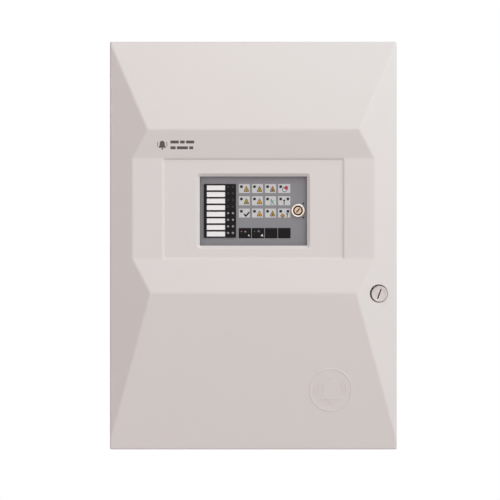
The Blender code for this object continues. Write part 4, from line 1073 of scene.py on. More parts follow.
@dataclass
class DoorCover:
    """Hollow faceted door with its window, lock well and hinge knuckles."""

    fit: float = 0.3 * MM
    skirt: float = 10 * MM
    skirt_wall: float = 2.6 * MM
    wall: float = 3.2 * MM
    side_slope: float = 0.5
    top_ridge: Point2 = (87.9 * MM, 37.9 * MM)
    band_drop: float = 116.4 * MM
    band_height: float = 100.5 * MM
    band_inset: float = 22.6 * MM
    low_ridge: Point2 = (34.5 * MM, 40.75 * MM)
    hip_foot: float = 8.6 * MM
    recess_size: Point2 = (181.6 * MM, 101.2 * MM)
    recess_z: float = 36.85 * MM
    recess_depth: float = 1.8 * MM
    recess_corner: float = 0.8 * MM
    recess_lip: float = 0.7 * MM
    window: Point2 = (107.2 * MM, 69.1 * MM)
    window_wall: float = 3.0 * MM
    window_corner: float = 0.7 * MM
    window_lip: float = 0.5 * MM
    lock_hole: float = 9.1 * MM
    lock_mouth_shift: Point2 = (-0.5 * MM, 0.4 * MM)
    lock_well_wall: float = 2.4 * MM
    lock_web: float = 2.5 * MM
    lock_bore: float = 5.9 * MM
    hinge_radius: float = 3.5 * MM
    knuckle: float = 10 * MM
    notch: float = 2.1 * MM
    ridge_rounding: float = 1.5 * MM

    def __post_init__(self) -> None:
        """Read the door's outline and its neighbours' places from the frame."""
        self.left, self.right = reach("back_box", Axis.X)
        self.low, self.top = reach("back_box", Axis.Z)
        self.rear = reach("door_cover", Axis.Y)[1]
        self.facet_y = self.rear - self.skirt
        self.band_top = self.top - self.band_drop
        self.band_low = self.band_top - self.band_height
        self.band_y = self.facet_y - self.side_slope * self.band_inset
        self.recess_y = self.band_y + self.recess_depth
        self.window_rear = self.recess_y + self.window_wall
        self.window_z = centre("fascia_plate")[1]
        self.ridge_z = self.top - self.top_ridge[0]
        self.low_ridge_z = self.band_low - self.low_ridge[0]
        self.foot_z = self.low + self.hip_foot
        self.lower_slope = self.side_slope * self.low_ridge[1] / (self.low_ridge_z - self.foot_z)
        self.lock = centre("lock_plug")
        self.web_back = reach("lock_nut", Axis.Y)[0] - self.fit

    def lower_facet(self, z: float) -> float:
        """Depth of the long lower facet at a height."""
        return self.facet_y - self.side_slope * self.low_ridge[1] + self.lower_slope * (self.low_ridge_z - z)

    def upper_band(self, z: float) -> float:
        """Depth of the short facet above the flat band at a height."""
        rise = self.side_slope * (self.top_ridge[1] - self.band_inset)
        return self.band_y - rise * (z - self.band_top) / (self.ridge_z - self.band_top)

    def shell(self, inset: float, shift: float, rear: float) -> Form:
        """Draw the faceted form.

        Args:
            inset: How far it is drawn in all round, with its facets' planes kept.
            shift: How far it is moved back.
            rear: Depth of its open side.

        Returns:
            The closed form.
        """
        top_slope = self.side_slope * self.top_ridge[1] / self.top_ridge[0]

        def row(distance: float, z: float, rise: float) -> tuple[Point3, Point3]:
            """Left and right corner at a height."""
            y = self.facet_y + shift - rise
            return (self.left + distance, y, z), (self.right - distance, y, z)

        def side(distance: float) -> float:
            """Rise of the side facets, this far in."""
            return self.side_slope * distance

        hip_z = self.top - inset * self.top_ridge[0] / self.top_ridge[1]
        foot_z = self.foot_z + (self.low_ridge_z - self.foot_z) * inset / self.low_ridge[1]
        top = row(inset, self.top - inset, top_slope * inset)
        hip = row(inset, hip_z, side(inset))
        ridge = row(self.top_ridge[1], self.ridge_z, side(self.top_ridge[1]))
        band_top = row(self.band_inset, self.band_top, side(self.band_inset))
        band_low = row(self.band_inset, self.band_low, side(self.band_inset))
        low_ridge = row(self.low_ridge[1], self.low_ridge_z, side(self.low_ridge[1]))
        foot = row(inset, foot_z, side(inset))
        bottom = row(inset, self.low + inset, self.lower_slope * (inset - self.hip_foot))
        ends = (self.top - inset, self.low + inset)
        back = [((self.left + inset, rear, z), (self.right - inset, rear, z)) for z in ends]
        form = Form()
        corners = [top[0], top[1], ridge[1], ridge[0]]
        form.sheet([top[0], top[1], hip[1], ridge[1], ridge[0], hip[0]] if inset else corners)
        for a, b in ((ridge, band_top), (band_top, band_low), (band_low, low_ridge)):
            form.sheet([a[0], a[1], b[1], b[0]])
        form.sheet([low_ridge[0], low_ridge[1], foot[1], bottom[1], bottom[0], foot[0]])
        for hand in (0, 1):
            edge = [back[0][hand], top[hand], *([hip[hand]] if inset else []), foot[hand]]
            form.sheet([*edge, bottom[hand], back[1][hand]])
            form.sheet([pair[hand] for pair in (hip, ridge, band_top, band_low, low_ridge, foot)])
        form.sheet([*back[0], top[1], top[0]], [*back[1], bottom[1], bottom[0]])
        return form.sheet([*back[0], back[1][1], back[1][0]])

    @staticmethod
    def funnel(x: Span, z: Span, steps: Sequence[Point3]) -> Form:
        """Draw an opening that narrows with depth.

        Args:
            x: Its span across.
            z: Its span in height.
            steps: How far each ring is grown, its depth, and its corners' radius.

        Returns:
            The closed form.
        """
        loops = []
        for out, y, radius in steps:
            loops.append([(a, y, b) for a, b in rounded(grown(x, out), grown(z, out), radius)])
        return Form().loft(loops)

    @staticmethod
    def rim_steps(face: float, wall: float, corner: float, lip: float) -> list[Point3]:
        """Rings of a 45 degree wall that falls from a face, with a rounded lip.

        Args:
            face: Depth of the face that it falls from.
            wall: How far it falls.
            corner: Radius of its corners at the foot.
            lip: Length of the lip's rounding on the face.

        Returns:
            Steps for a funnel that is drawn around the wall's upper edge.
        """
        outside = (lip, face - MM, corner + wall + lip)
        edge = [(lip, face, corner + wall + lip), (lip * 0.3, face + lip * 0.12, corner + wall)]
        inner = [(-lip * 0.3, face + lip * 0.4, corner + wall), (-wall, face + wall, corner)]
        return [outside, *edge, *inner]

    def knuckle_tools(self) -> list[tuple[Cut, Form]]:
        """Draw the knuckles, bores and notches around the two hinges.

        Returns:
            The steps, in order.
        """
        knuckles, bores, notches = Form(), Form(), Form()
        hinge = (centre("hinge_pin_upper")[0], middle(reach("hinge_pin_upper", Axis.Y)))
        pin = length(reach("hinge_pin_upper", Axis.X)) / 2
        for side in ("upper", "lower"):
            low, high = reach(f"hinge_pin_{side}", Axis.Z)
            for span in ((low, low + self.knuckle), (high - self.knuckle, high)):
                corners = (self.left + MM, hinge[0] + self.hinge_radius)
                outline = [(x, self.facet_y - MM) for x in corners]
                outline += arc(hinge, self.hinge_radius, 0, 165, 16) + [(self.left + MM, hinge[1])]
                knuckles.prism(outline, span, Axis.Z)
            bores.rod(hinge, pin + self.fit, grown((low, high), MM), Axis.Z, sides=24)
            ear = grown((low, high), -self.knuckle)
            notches.rod(hinge, self.hinge_radius + self.notch, ear, Axis.Z, sides=32)
        outside = [(self.left - MM, hinge[1])] + arc(hinge, self.hinge_radius, 180, 90, 10)
        outside += [(hinge[0], self.rear + MM), (self.left - MM, self.rear + MM)]
        edge = Form().prism(outside, grown((self.low, self.top), MM), Axis.Z)
        return [(Cut.JOIN, knuckles), (Cut.AWAY, edge), (Cut.AWAY, notches), (Cut.AWAY, bores)]

    def window_tools(self) -> list[tuple[Cut, Form]]:
        """Draw the pad and the lock well inside, then the lock's mouth, the recess and the window.

        Returns:
            The steps, in order.
        """
        recess_x, recess_z = about(0, self.recess_size[0]), about(self.recess_z, self.recess_size[1])
        window_x = grown(about(0, self.window[0]), self.window_wall)
        window_z = grown(about(self.window_z, self.window[1]), self.window_wall)
        pad_z = grown((self.band_low, self.band_top), self.wall)
        pad = Form().box(grown(recess_x, self.wall), (self.band_y + MM, self.window_rear), pad_z)
        recess_steps = self.rim_steps(self.band_y, self.recess_depth, self.recess_corner, self.recess_lip)
        window_steps = self.rim_steps(self.recess_y, self.window_wall, self.window_corner, self.window_lip)
        window_steps.append((-self.window_wall, self.window_rear + MM, self.window_corner))
        recess = self.funnel(recess_x, recess_z, recess_steps)
        opening = self.funnel(window_x, window_z, window_steps)
        outer = self.lock_hole + self.lock_well_wall
        web_y = (self.web_back - self.lock_web, self.web_back)
        deepest = self.facet_y - self.side_slope * (self.right - self.lock[0] - outer) + MM
        well = Form().rod(self.lock, outer, (deepest, self.web_back), sides=72)
        mouth_at = (self.lock[0] + self.lock_mouth_shift[0], self.lock[1] + self.lock_mouth_shift[1])
        mouth = Form().rod(mouth_at, self.lock_hole, (self.facet_y - 20 * MM, web_y[0]), sides=72)
        bore = Form().rod(self.lock, self.lock_bore, grown(web_y, MM), sides=48)
        joined = [(Cut.JOIN, pad), (Cut.JOIN, well)]
        return joined + [(Cut.AWAY, tool) for tool in (mouth, bore, recess, opening)]

    def round_ridges(self, cover: bpy.types.Object) -> None:
        """Round the shell's edges, except those of its open side.

        Args:
            cover: The door's closed shell.
        """
        weights = cover.data.attributes.new("bevel_weight_edge", "FLOAT", "EDGE")
        depths = [[cover.data.vertices[v].co.y for v in edge.vertices] for edge in cover.data.edges]
        weights.data.foreach_set("value", [float(min(pair) < self.rear - MM) for pair in depths])
        bevel = cover.modifiers.new("ridges", "BEVEL")
        bevel.limit_method = "WEIGHT"
        bevel.width = self.ridge_rounding
        bevel.segments = 4

    def build(self) -> None:
        """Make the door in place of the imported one."""
        cover = self.shell(0, 0, self.rear).done("door_shell")
        self.round_ridges(cover)
        hollow = self.shell(self.skirt_wall, self.wall, self.rear + MM)
        steps = [(Cut.AWAY, hollow), *self.window_tools(), *self.knuckle_tools()]
        worked(cover, steps)
        cover.data.shade_smooth()
        cover.data.set_sharp_from_angle(angle=math.radians(32))
        level_faces(cover)
        present(cover, OFF_WHITE, "door", ["door_cover"])


@dataclass
class DoorMarks:
    """A raised bell emblem low on the door, and a small printed bell with plain bars above."""

    door: DoorCover
    emblem_at: Point2 = (77.2 * MM, -144.4 * MM)
    emblem_radius: float = 21.6 * MM
    ring_width: float = 1.3 * MM
    relief: float = 0.45 * MM
    print_left: float = -95.4 * MM
    print_z: float = 100.6 * MM
    print_height: float = 9.6 * MM
    film: float = 0.05 * MM

    @staticmethod
    def bell(size: float) -> list[Point2]:
        """Outline of a bell.

        Args:
            size: Its height.

        Returns:
            The points, about its middle.
        """
        dome = arc((0, 0.16), 0.36, 0, 180, 14)
        right = [(-0.56, -0.5), (0.56, -0.5), (0.5, -0.4), (0.4, -0.2)]
        left = [(-0.4, -0.2), (-0.5, -0.4)]
        return [(a * size, b * size) for a, b in right + dome + left]

    @staticmethod
    def laid(form: Form, surface: Callable[[float], float]) -> Form:
        """Lean a form that was drawn about Y = 0 on a facet."""
        for corner in form.mesh.verts:
            corner.co.y += surface(corner.co.z)
        return form

    def build_emblem(self) -> None:
        """Make the raised ring, bell, clapper and sound waves."""
        sunk, face = 0.2 * MM, -self.relief
        at, radius, width = self.emblem_at, self.emblem_radius, self.ring_width
        inside = radius - width
        ring = [(radius, sunk), (radius - 0.3 * MM, face), (inside + 0.3 * MM, face), (inside, sunk)]
        form = Form().turned(at, ring, sides=72, closed=True)
        form.prism(moved(self.bell(19 * MM), at), (face, sunk))
        form.rod((at[0], at[1] - 11.6 * MM), 1.9 * MM, (face, sunk), sides=24)
        form.rod((at[0], at[1] + 11.4 * MM), 1.4 * MM, (face, sunk), sides=20)
        for middle_angle in (10, 170):
            for wave in (12.4 * MM, 15.6 * MM):
                sweep = arc(at, wave, middle_angle - 26, middle_angle + 26, 10)
                form.stroke(sweep, 0.9 * MM, (face, sunk))
        self.laid(form, self.door.lower_facet)
        show(form, "door_emblem", OFF_WHITE, "door", width=0.14 * MM)

    def build_print(self) -> None:
        """Make the small bell and the bars beside it."""
        span = (-self.film, 0.1 * MM)
        height, z = self.print_height, self.print_z
        form = Form()
        bell_at = (self.print_left + 0.45 * height, z + 0.06 * height)
        form.prism(moved(self.bell(0.72 * height), bell_at), span)
        form.rod((bell_at[0], bell_at[1] - 0.47 * height), 0.09 * height, span, sides=16)
        for tilt in (0, 180):
            form.stroke(arc(bell_at, 0.5 * height, tilt - 24, tilt + 24, 6), 0.06 * height, span)
        start = self.print_left + 1.3 * height
        for row, lengths in ((0.3, (8.4, 4.6, 8.2)), (-0.3, (5.2, 11.0, 4.0))):
            left = start
            for length in lengths:
                right = left + length * MM
                form.prism(rounded((left, right), about(z + row * height, 0.3 * height), 0.5 * MM), span)
                left = right + 1.3 * MM
        self.laid(form, self.door.upper_band)
        show(form, "door_print", MARK_INK, "door")

    def build(self) -> None:
        """Make both marks."""
        self.build_emblem()
        self.build_print()


@dataclass
class BackBox:
    """Moulded wall box, its cable grommets, hinge pins and the strike for the lock's cam."""

    edge: float = 0.6 * MM
    grommet_groove: float = 2.3 * MM
    grommet_rings: Point3 = (6.4 * MM, 4.4 * MM, 2.6 * MM)

    def build(self) -> None:
        """Ease the box's edges and dress what is fixed to it."""
        softened("back_box", "wall_box", OFF_WHITE, self.edge)
        dress(ZINC, "hinge_pin_upper", "hinge_pin_lower")
        softened("latch_strike", "latch_strike_angle", ZINC, 0.3 * MM)
        for number in (1, 2, 3):
            self.build_grommet(number)

    def build_grommet(self, number: int) -> None:
        """Make a grommet with its stepped cutting rings.

        Args:
            number: Which of the three.
        """
        node = f"cable_grommet_{number}"
        low, high = reach(node, Axis.Z)
        x, y = reach(node, Axis.X), reach(node, Axis.Y)
        outer = length(x) / 2
        groove = outer - self.grommet_groove
        wall_low, wall_high = low + 3 * MM, high + 0.4 * MM
        profile = [(0.1 * MM, low + 0.6 * MM), (2.4 * MM, low + 0.3 * MM), (groove - 1.6 * MM, low)]
        profile += [(outer - 0.5 * MM, low + 0.8 * MM), (outer, low + 1.4 * MM), (outer, wall_low)]
        profile += [(groove, wall_low), (groove, wall_high - 1.2 * MM), (groove - 0.8 * MM, high)]
        for ring in self.grommet_rings:
            profile += [(ring, high - 0.1 * MM), (ring - 0.3 * MM, high - 0.8 * MM)]
            profile.append((ring - 1.2 * MM, high - 0.8 * MM))
        profile.append((0.1 * MM, high - 0.6 * MM))
        form = Form().turned((middle(x), middle(y)), profile, Axis.Z)
        name = f"grommet_{number}"
        show(form, name, RUBBER_AND_GAP_SHADE, width=0.15 * MM, stands_for=[node])


@dataclass
class DoorLock:
    """Coin-slot plug in the door, with the cam and fixings behind it."""

    slot: Point3 = (10.4 * MM, 1.3 * MM, 1.4 * MM)
    # Size of the slot's dark floor, which is painted shade.
    slot_shade: Point2 = (10.1 * MM, 1.0 * MM)
    tilt: float = 70.0
    rim: float = 0.7 * MM
    dish: float = 0.5 * MM
    head_depth: float = 3.5 * MM
    shaft: float = 4.0 * MM
    square: float = 5.0 * MM
    screw_bore: float = 1.7 * MM
    # Dark washer at the bottom of the lock's well: painted shade in the gap round the plug.
    gap_shade: Point2 = (5.2 * MM, 8.4 * MM)
    gap_shade_thickness: float = 0.15 * MM
    edge: float = 0.25 * MM

    def build(self) -> None:
        """Make the plug, a dark washer and a dark slot floor that are painted shade in the lock's gap and
        slot, and dress the rest.
        """
        self.build_plug()
        at, face = centre("lock_plug"), reach("lock_plug", Axis.Y)[0]
        # A dark washer painted as the shade in the gap round the plug.
        web, (inside, outside) = reach("lock_barrel", Axis.Y)[0], self.gap_shade
        back = web - self.gap_shade_thickness
        washer = [(inside, web), (inside, back), (outside, back), (outside, web)]
        gap_shade = Form().turned(at, washer, sides=72, closed=True)
        show(gap_shade, "lock_gap_shade", RUBBER_AND_GAP_SHADE, "door")
        # The slot's dark floor is painted shade.
        outline = tilted(at, self.slot_shade, 0.4 * MM, self.tilt, 4)
        floor = Form().prism(outline, (face + MM, face + 1.6 * MM))
        show(floor, "lock_slot_painted_shade", DEEP_SHADE, "lock_spindle")
        softened("lock_nut", "lock_hexagon_nut", ZINC, self.edge, angle=40)
        softened("lock_cam", "lock_cam_blade", ZINC, self.edge, angle=40)
        dress(ZINC, "lock_barrel", "cam_screw")

    def build_plug(self) -> None:
        """Turn the dished head and its shaft, with the slot in front and the cam's square behind."""
        at, (face, tail) = centre("lock_plug"), reach("lock_plug", Axis.Y)
        radius = length(reach("lock_plug", Axis.X)) / 2
        back, cam = face + self.head_depth, reach("lock_cam", Axis.Y)[0] - 0.3 * MM
        dish = face + self.dish
        profile = [(0.5 * radius, dish), (radius - 2.1 * MM, dish), (radius - 1.0 * MM, face)]
        profile += arc((radius - self.rim, face + self.rim), self.rim, -90, 0, 6)
        profile += [(radius, back), (self.shaft, back), (self.shaft, cam)]
        plug = Form().turned(at, profile, sides=72).done("lock_head")
        outline = tilted(at, self.slot[:2], 0.6 * MM, self.tilt, 4)
        groove = Form().prism(outline, (face - MM, face + self.slot[2]))
        square = Form().box(about(at[0], self.square), (cam - MM, tail), about(at[1], self.square))
        bored = Form().rod(at, self.screw_bore, (tail - 7 * MM, tail + MM), sides=24)
        worked(plug, [(Cut.JOIN, square), (Cut.AWAY, groove), (Cut.AWAY, bored)])
        eased(plug, 0.12 * MM, angle=50)
        present(plug, PLUG_WHITE, "lock_spindle", ["lock_plug"])


# ---------------------------------------------------------------- front of the control module


class Symbol(Enum):
    """Pictograms beside the status lights."""

    FLAME = "flame"
    BOLT = "bolt"
    DISC = "disc"
    SOUNDER = "sounder"
    RUNNER = "runner"
    POST = "post"
    TICK = "tick"
    DIAMOND = "diamond"


def warning_outline(width: float, height: float, corner: float) -> list[Point2]:
    """Outline of a triangle with round corners.

    Args:
        width: Its base.
        height: Its height.
        corner: Radius of its corners.

    Returns:
        The points, about the triangle's centroid.
    """
    side = math.hypot(width / 2, height)
    inner = width * height / (width + 2 * side)
    shrink = 1 - corner / inner
    heart = -height / 3 + inner
    lean = math.degrees(math.atan2(width / 2, height))
    tips = (((width / 2, -height / 3), -90, lean), ((0, 2 * height / 3), lean, 180 - lean))
    tips += (((-width / 2, -height / 3), 180 - lean, 270),)
    points = []
    for (x, z), first, last in tips:
        points += arc((x * shrink, heart + (z - heart) * shrink), corner, first, last, 4)
    return points


@dataclass
class StatusTiles:
    """Pale tiles around the status lights, each with its pictogram."""

    bar_margin: float = 1.6 * MM
    pitch: float = 13.1 * MM
    second_light: float = 7.2 * MM
    light_inset: Point2 = (2.5 * MM, 2.7 * MM)
    size: Point2 = (10.9 * MM, 9.0 * MM)
    last_width: float = 12.1 * MM
    corner: float = 0.4 * MM
    light_hole: float = 1.12 * MM
    dot: float = 2.7 * MM
    film: float = 0.1 * MM
    warning_at: Point2 = (5.0 * MM, -3.0 * MM)
    warning_size: Point2 = (5.9 * MM, 6.3 * MM)
    forms: dict[str, tuple[Finish, Form]] = field(default_factory=dict)

    def __post_init__(self) -> None:
        """Read the face's depth and the lights' places from the frame."""
        self.face = reach("fascia_plate", Axis.Y)[0]
        self.rows = []
        for number in (1, 2, 3):
            node = f"status_light_guide_{number}"
            first = reach(node, Axis.X)[0] + self.bar_margin
            self.rows.append([(first + column * self.pitch, centre(node)[1]) for column in range(4)])

    def layer(self, name: str, finish: Finish, level: float) -> Pen:
        """The form that a colour is drawn in, and the depth span of a layer.

        Args:
            name: The piece's name.
            finish: Its ink.
            level: How many thin layers lie under it.

        Returns:
            The form and the span.
        """
        held = self.forms.setdefault(name, (finish, Form()))
        front = self.face - self.film - 0.03 * MM * level
        return held[1], (front, self.face + 0.05 * MM)

    def draw_warning(self, at: Point2, ink: tuple[str, Finish], sign: Symbol) -> None:
        """Draw a warning triangle with its sign.

        Args:
            at: Where its middle is.
            ink: Name and finish of its fill.
            sign: What it holds.
        """
        width, height = self.warning_size
        border, border_span = self.layer("warning_borders", BORDER_INK, 1)
        border.prism(moved(warning_outline(width, height, 0.5 * MM), at), border_span)
        fill, fill_span = self.layer(*ink, 2)
        fill.prism(moved(warning_outline(width - 2.0 * MM, height - 2.1 * MM, 0.2 * MM), at), fill_span)
        dark, span = self.layer("warning_signs", BORDER_INK, 3)
        x, z = at
        if sign is Symbol.FLAME:
            drop = arc((0, -0.5 * MM), 0.75 * MM, 150, 390, 8) + [(0.15 * MM, 1.3 * MM)]
            dark.prism(moved(drop, (x, z)), span)
        elif sign is Symbol.BOLT:
            path = [(0.35, 1.2), (-0.4, 0.0), (0.4, -0.1), (-0.3, -1.2)]
            dark.stroke([(x + a * MM, z + b * MM) for a, b in path], 0.4 * MM, span)
        else:
            dark.rod((x, z - 0.35 * MM), 0.75 * MM, span, sides=20)

    def draw_symbol(self, light: Point2, sign: Symbol) -> None:
        """Draw a pictogram that isn't a warning triangle.

        Args:
            light: Where the tile's light is.
            sign: What is drawn.
        """
        dark = self.layer("dark_symbols", DARK_INK, 1)
        order = count(1)

        def spread(points: Iterable[Point2]) -> list[Point2]:
            """Places given in millimetres from the light."""
            return [(light[0] + a * MM, light[1] + b * MM) for a, b in points]

        def line(pen: Pen, width: float, *points: Point2) -> None:
            """A stroke through places in millimetres from the light, a little above the one before."""
            form, (front, back) = pen
            form.stroke(spread(points), width * MM, (front - 0.006 * MM * next(order), back))

        def spot(pen: Pen, at: Point2, radius: float) -> None:
            """A round spot at a place in millimetres from the light."""
            pen[0].rod(spread([at])[0], radius * MM, pen[1], sides=20)

        if sign is Symbol.TICK:
            line(dark, 1.35, (2.9, -3.0), (4.5, -4.9), (7.5, -1.2))
        elif sign is Symbol.POST:
            spot(dark, (3.4, -1.5), 0.95)
            line(dark, 0.85, (3.4, -1.6), (3.4, -5.6))
        elif sign is Symbol.RUNNER:
            green = self.layer("green_symbols", GREEN_INK, 1)
            spot(green, (3.5, -0.6), 0.62)
            line(green, 0.9, (4.0, -1.6), (4.8, -3.4))
            line(green, 0.6, (4.8, -3.4), (5.9, -4.2), (6.4, -5.8))
            line(green, 0.6, (4.7, -3.5), (3.9, -4.7), (2.9, -5.7))
            line(green, 0.5, (3.9, -1.6), (5.3, -2.2), (6.2, -1.6))
            line(green, 0.5, (3.9, -1.6), (2.9, -2.4), (3.3, -3.3))
        elif sign is Symbol.SOUNDER:
            red, span = self.layer("red_symbols", RED_INK, 3)
            dome = arc((0, 0), 1.75 * MM, 0, 180, 12) + [(-1.9 * MM, -2.0 * MM), (1.9 * MM, -2.0 * MM)]
            red.prism(moved(dome, spread([(5.6, -0.9)])[0], -12), span)
            line(self.layer("slate_symbols", SLATE_INK, 1), 0.85, *arc((3.9, -2.9), 2.1, 110, 350, 12))
            spot(self.layer("white_symbols", WHITE_INK, 2), (3.9, -2.9), 1.65)
        elif sign is Symbol.DIAMOND:
            orange = self.layer("warning_orange", ORANGE_INK, 2)
            for (form, span), size in ((dark, 2.3), (orange, 1.6)):
                form.prism(spread(arc((1.9, -4.5), size, -90, 180, 3)), span)
            dark[0].prism(spread([(5.3, -2.0), (6.5, -4.2), (7.7, -2.0)]), dark[1])
            line(dark, 0.7, (6.5, -3.8), (6.5, -5.8))

    def build(self) -> None:
        """Make the tiles, and the symbols by colour."""
        plates, holes = Form(), Form()
        span = (self.face - self.film, self.face + 0.05 * MM)
        for number, row in enumerate(self.rows):
            for column, (x, z) in enumerate(row):
                width = self.last_width if column == 3 else self.size[0]
                left, top = x - self.light_inset[0], z + self.light_inset[1]
                plates.prism(rounded((left, left + width), (top - self.size[1], top), self.corner), span)
                lights = [x] if column < 3 or not number else [x, x + self.second_light]
                dots, dots_span = self.layer("light_surrounds", DOT_INK, 1)
                for place in lights:
                    holes.rod((place, z), self.light_hole, grown(span, MM), sides=24)
                    square = rounded(about(place, self.dot), about(z, self.dot), 0.8 * MM)
                    dots.prism(square, (dots_span[0], dots_span[0] + 0.04 * MM))
        thing = worked(plates.done("status_tiles"), [(Cut.AWAY, holes)])
        present(eased(thing, 0), TILE_INK, "root")
        amber, yellow = ("warning_amber", AMBER_INK), ("warning_yellow", YELLOW_INK)
        orange = ("warning_orange", ORANGE_INK)
        layout = (
            ((amber, Symbol.FLAME), (yellow, Symbol.BOLT), (orange, Symbol.FLAME), Symbol.SOUNDER),
            ((yellow, Symbol.DISC), (amber, Symbol.BOLT), Symbol.RUNNER, Symbol.POST),
            (Symbol.TICK, (amber, Symbol.DISC), (yellow, Symbol.FLAME), Symbol.DIAMOND),
        )
        for row, signs in zip(self.rows, layout):
            for light, sign in zip(row, signs):
                if isinstance(sign, Symbol):
                    self.draw_symbol(light, sign)
                else:
                    at = (light[0] + self.warning_at[0], light[1] + self.warning_at[1])
                    self.draw_warning(at, *sign)
        for name, (finish, form) in self.forms.items():
            show(form, name, finish)


@dataclass
class ControlFace:
    """Fascia, zone display, keys and key switch."""

    key_mark: float = 0.05 * MM
    label: Point2 = (18.2 * MM, 4.9 * MM)
    label_x: float = -37.45 * MM
    label_pitch: float = 6.6 * MM
    mouth: float = 5.4 * MM
    mouth_depth: float = 1.6 * MM
    bore: float = 4.4 * MM
    thread: float = 5.6 * MM
    boss: float = 3.6 * MM
    rotor_rim: float = 5.0 * MM
    stem: float = 4.1 * MM
    keyway: Point2 = (5.2 * MM, 1.2 * MM)
    # Size of the keyway's dark floor, which is painted shade.
    keyway_shade: Point2 = (5.0 * MM, 1.0 * MM)
    keyway_tilt: float = 50.0
    switch_marks: Point2 = (5.5 * MM, 7.1 * MM)

    def build(self) -> None:
        """Dress the flat pieces and make the keys' marks and the key switch."""
        dress(FASCIA_GREY, "fascia_plate")
        softened("zone_mask", "zone_surround", MASK_BLACK, 0.12 * MM)
        dress(LABEL_CARD, "zone_label_card")
        self.build_labels()
        dress(GUIDE_DARK, "zone_light_guide_upper")
        dress(GUIDE_MILKY, "zone_light_guide_lower")
        dress(GUIDE_STATUS, *(f"status_light_guide_{row}" for row in (1, 2, 3)))
        for number in (1, 2, 3, 4):
            softened(f"key_{number}", f"key_cap_{number}", KEY_BLACK, 0.25 * MM)
            dress(RELAY_BLACK, f"key_switch_{number}")
        self.build_key_marks()
        self.build_ring()
        self.build_rotor()
        self.build_switch_marks()

    def build_labels(self) -> None:
        """Lay a blank paper label in each window of the zone display."""
        front = reach("zone_mask", Axis.Y)[0] + 0.12 * MM
        back = reach("zone_label_card", Axis.Y)[0]
        middle_z = middle(reach("zone_mask", Axis.Z)) - 0.2 * MM
        form = Form()
        for row in range(8):
            z = about(middle_z + (3.5 - row) * self.label_pitch, self.label[1])
            form.prism(rounded(about(self.label_x, self.label[0]), z, 0.1 * MM), (front, back))
        show(form, "zone_labels", LABEL_CARD)

    def build_key_marks(self) -> None:
        """Print the keys' marks: a dot, and one or two wedges."""
        wedge = [(-0.9, -0.2), (0.5, 1.0), (0.9, -1.0)]
        marks = {
            1: ((PINK_INK, (0.3, 1.2), 80, 1.15), (WHITE_INK, (3.7, -2.4), 20, 1.0)),
            2: ((SLATE_INK, (0.4, 1.9), 10, 1.4), (WHITE_INK, (3.8, -2.2), 0, 1.5)),
            3: ((DARK_INK, (-3.4, 1.7), 0, 0.6), (DARK_INK, (2.6, -1.6), 0, 1.2)),
            4: ((DARK_INK, (0.2, 0.6), 0, 1.3), (DARK_INK, (3.6, 1.2), 0, 0.7)),
        }
        for number, drawn in marks.items():
            x, z = centre(f"key_{number}")
            face = reach(f"key_{number}", Axis.Y)[0]
            span = (face - self.key_mark, face + self.key_mark)
            for order, (ink, (a, b), turn, scale) in enumerate(drawn, 1):
                outline = moved(wedge, (x + a * MM, z + b * MM), turn, scale * MM)
                form = Form().prism(outline, span)
                if order == 1:
                    form.rod((x - 3.5 * MM, z + 1.7 * MM), 0.5 * MM, span, sides=16)
                show(form, f"key_{number}_mark_{order}", ink, f"key_{number}")

    def build_ring(self) -> None:
        """Turn the key switch's chromed ring and its threaded body."""
        at, (front, end) = centre("keylock_body"), reach("keylock_body", Axis.Y)
        radius, floor = length(reach("keylock_body", Axis.X)) / 2, front + self.mouth_depth
        back = reach("fascia_plate", Axis.Y)[0] - 0.3 * MM
        profile = arc((self.mouth + 0.35 * MM, front + 0.35 * MM), 0.35 * MM, 180, 270, 4)
        profile += arc((radius - 0.75 * MM, front + 0.75 * MM), 0.75 * MM, 270, 360, 6)
        profile += [(radius, back), (self.thread, back), (self.thread, end), (self.bore, end)]
        profile += [(self.bore, floor), (self.mouth, floor)]
        ring = Form().turned(at, profile, sides=72, closed=True)
        show(ring, "key_switch_ring", CHROME, angle=40, stands_for=["keylock_body"])
        dress(CHROME, "keylock_nut")

    def build_rotor(self) -> None:
        """Turn the key switch's rotor and cut its keyway, with a dark ring and a dark keyway floor that are
        painted shade.
        """
        at, (face, tail) = centre("keylock_body"), reach("keylock_rotor", Axis.Y)
        floor = reach("keylock_body", Axis.Y)[0] + self.mouth_depth - 0.1 * MM
        boss, rim, ledge = self.boss, self.rotor_rim, face + 0.35 * MM
        profile = [(boss - 0.2 * MM, face), (boss, face + 0.2 * MM), (boss, ledge), (rim, ledge)]
        profile += [(rim, floor), (self.stem, floor), (self.stem, tail)]
        rotor = Form().turned(at, profile, sides=72).done("key_rotor")
        keyway = tilted(at, self.keyway, 0.4 * MM, self.keyway_tilt)
        ward = rounded(about(0.9 * MM, 1.4 * MM), about(0.5 * MM, 1.2 * MM), 0.2 * MM, 2)
        depth = (face - MM, face + 2 * MM)
        cuts = [Form().prism(outline, depth) for outline in (keyway, moved(ward, at, self.keyway_tilt))]
        worked(rotor, [(Cut.AWAY, cut) for cut in cuts])
        present(eased(rotor, 0, angle=8), BRASS, "keylock_rotor", ["keylock_rotor"])
        # Painted shade: a dark ring in the recess round the rotor and a dark floor in the keyway.
        shade_ring_profile = turns(ledge, (3.62, 0.1), (3.62, -0.12), (4.9, -0.12), (4.9, 0.1))
        shade = Form().turned(at, shade_ring_profile, sides=72, closed=True)
        slot_shade = tilted(at, self.keyway_shade, 0.3 * MM, self.keyway_tilt)
        shade.prism(slot_shade, (face + 0.6 * MM, face + 2.2 * MM))
        show(shade, "key_rotor_painted_shade", DEEP_SHADE, "keylock_rotor")

    def build_switch_marks(self) -> None:
        """Print the key switch's two position marks on the fascia."""
        (x, z), face = centre("keylock_body"), reach("fascia_plate", Axis.Y)[0]
        marks = Form()
        for side in (-1, 1):
            spot = (x + self.switch_marks[0], z + side * self.switch_marks[1])
            marks.rod(spot, 0.85 * MM, (face - 0.06 * MM, face + 0.05 * MM), sides=20)
        show(marks, "key_switch_marks", DARK_INK)


# ---------------------------------------------------------------- inside the box


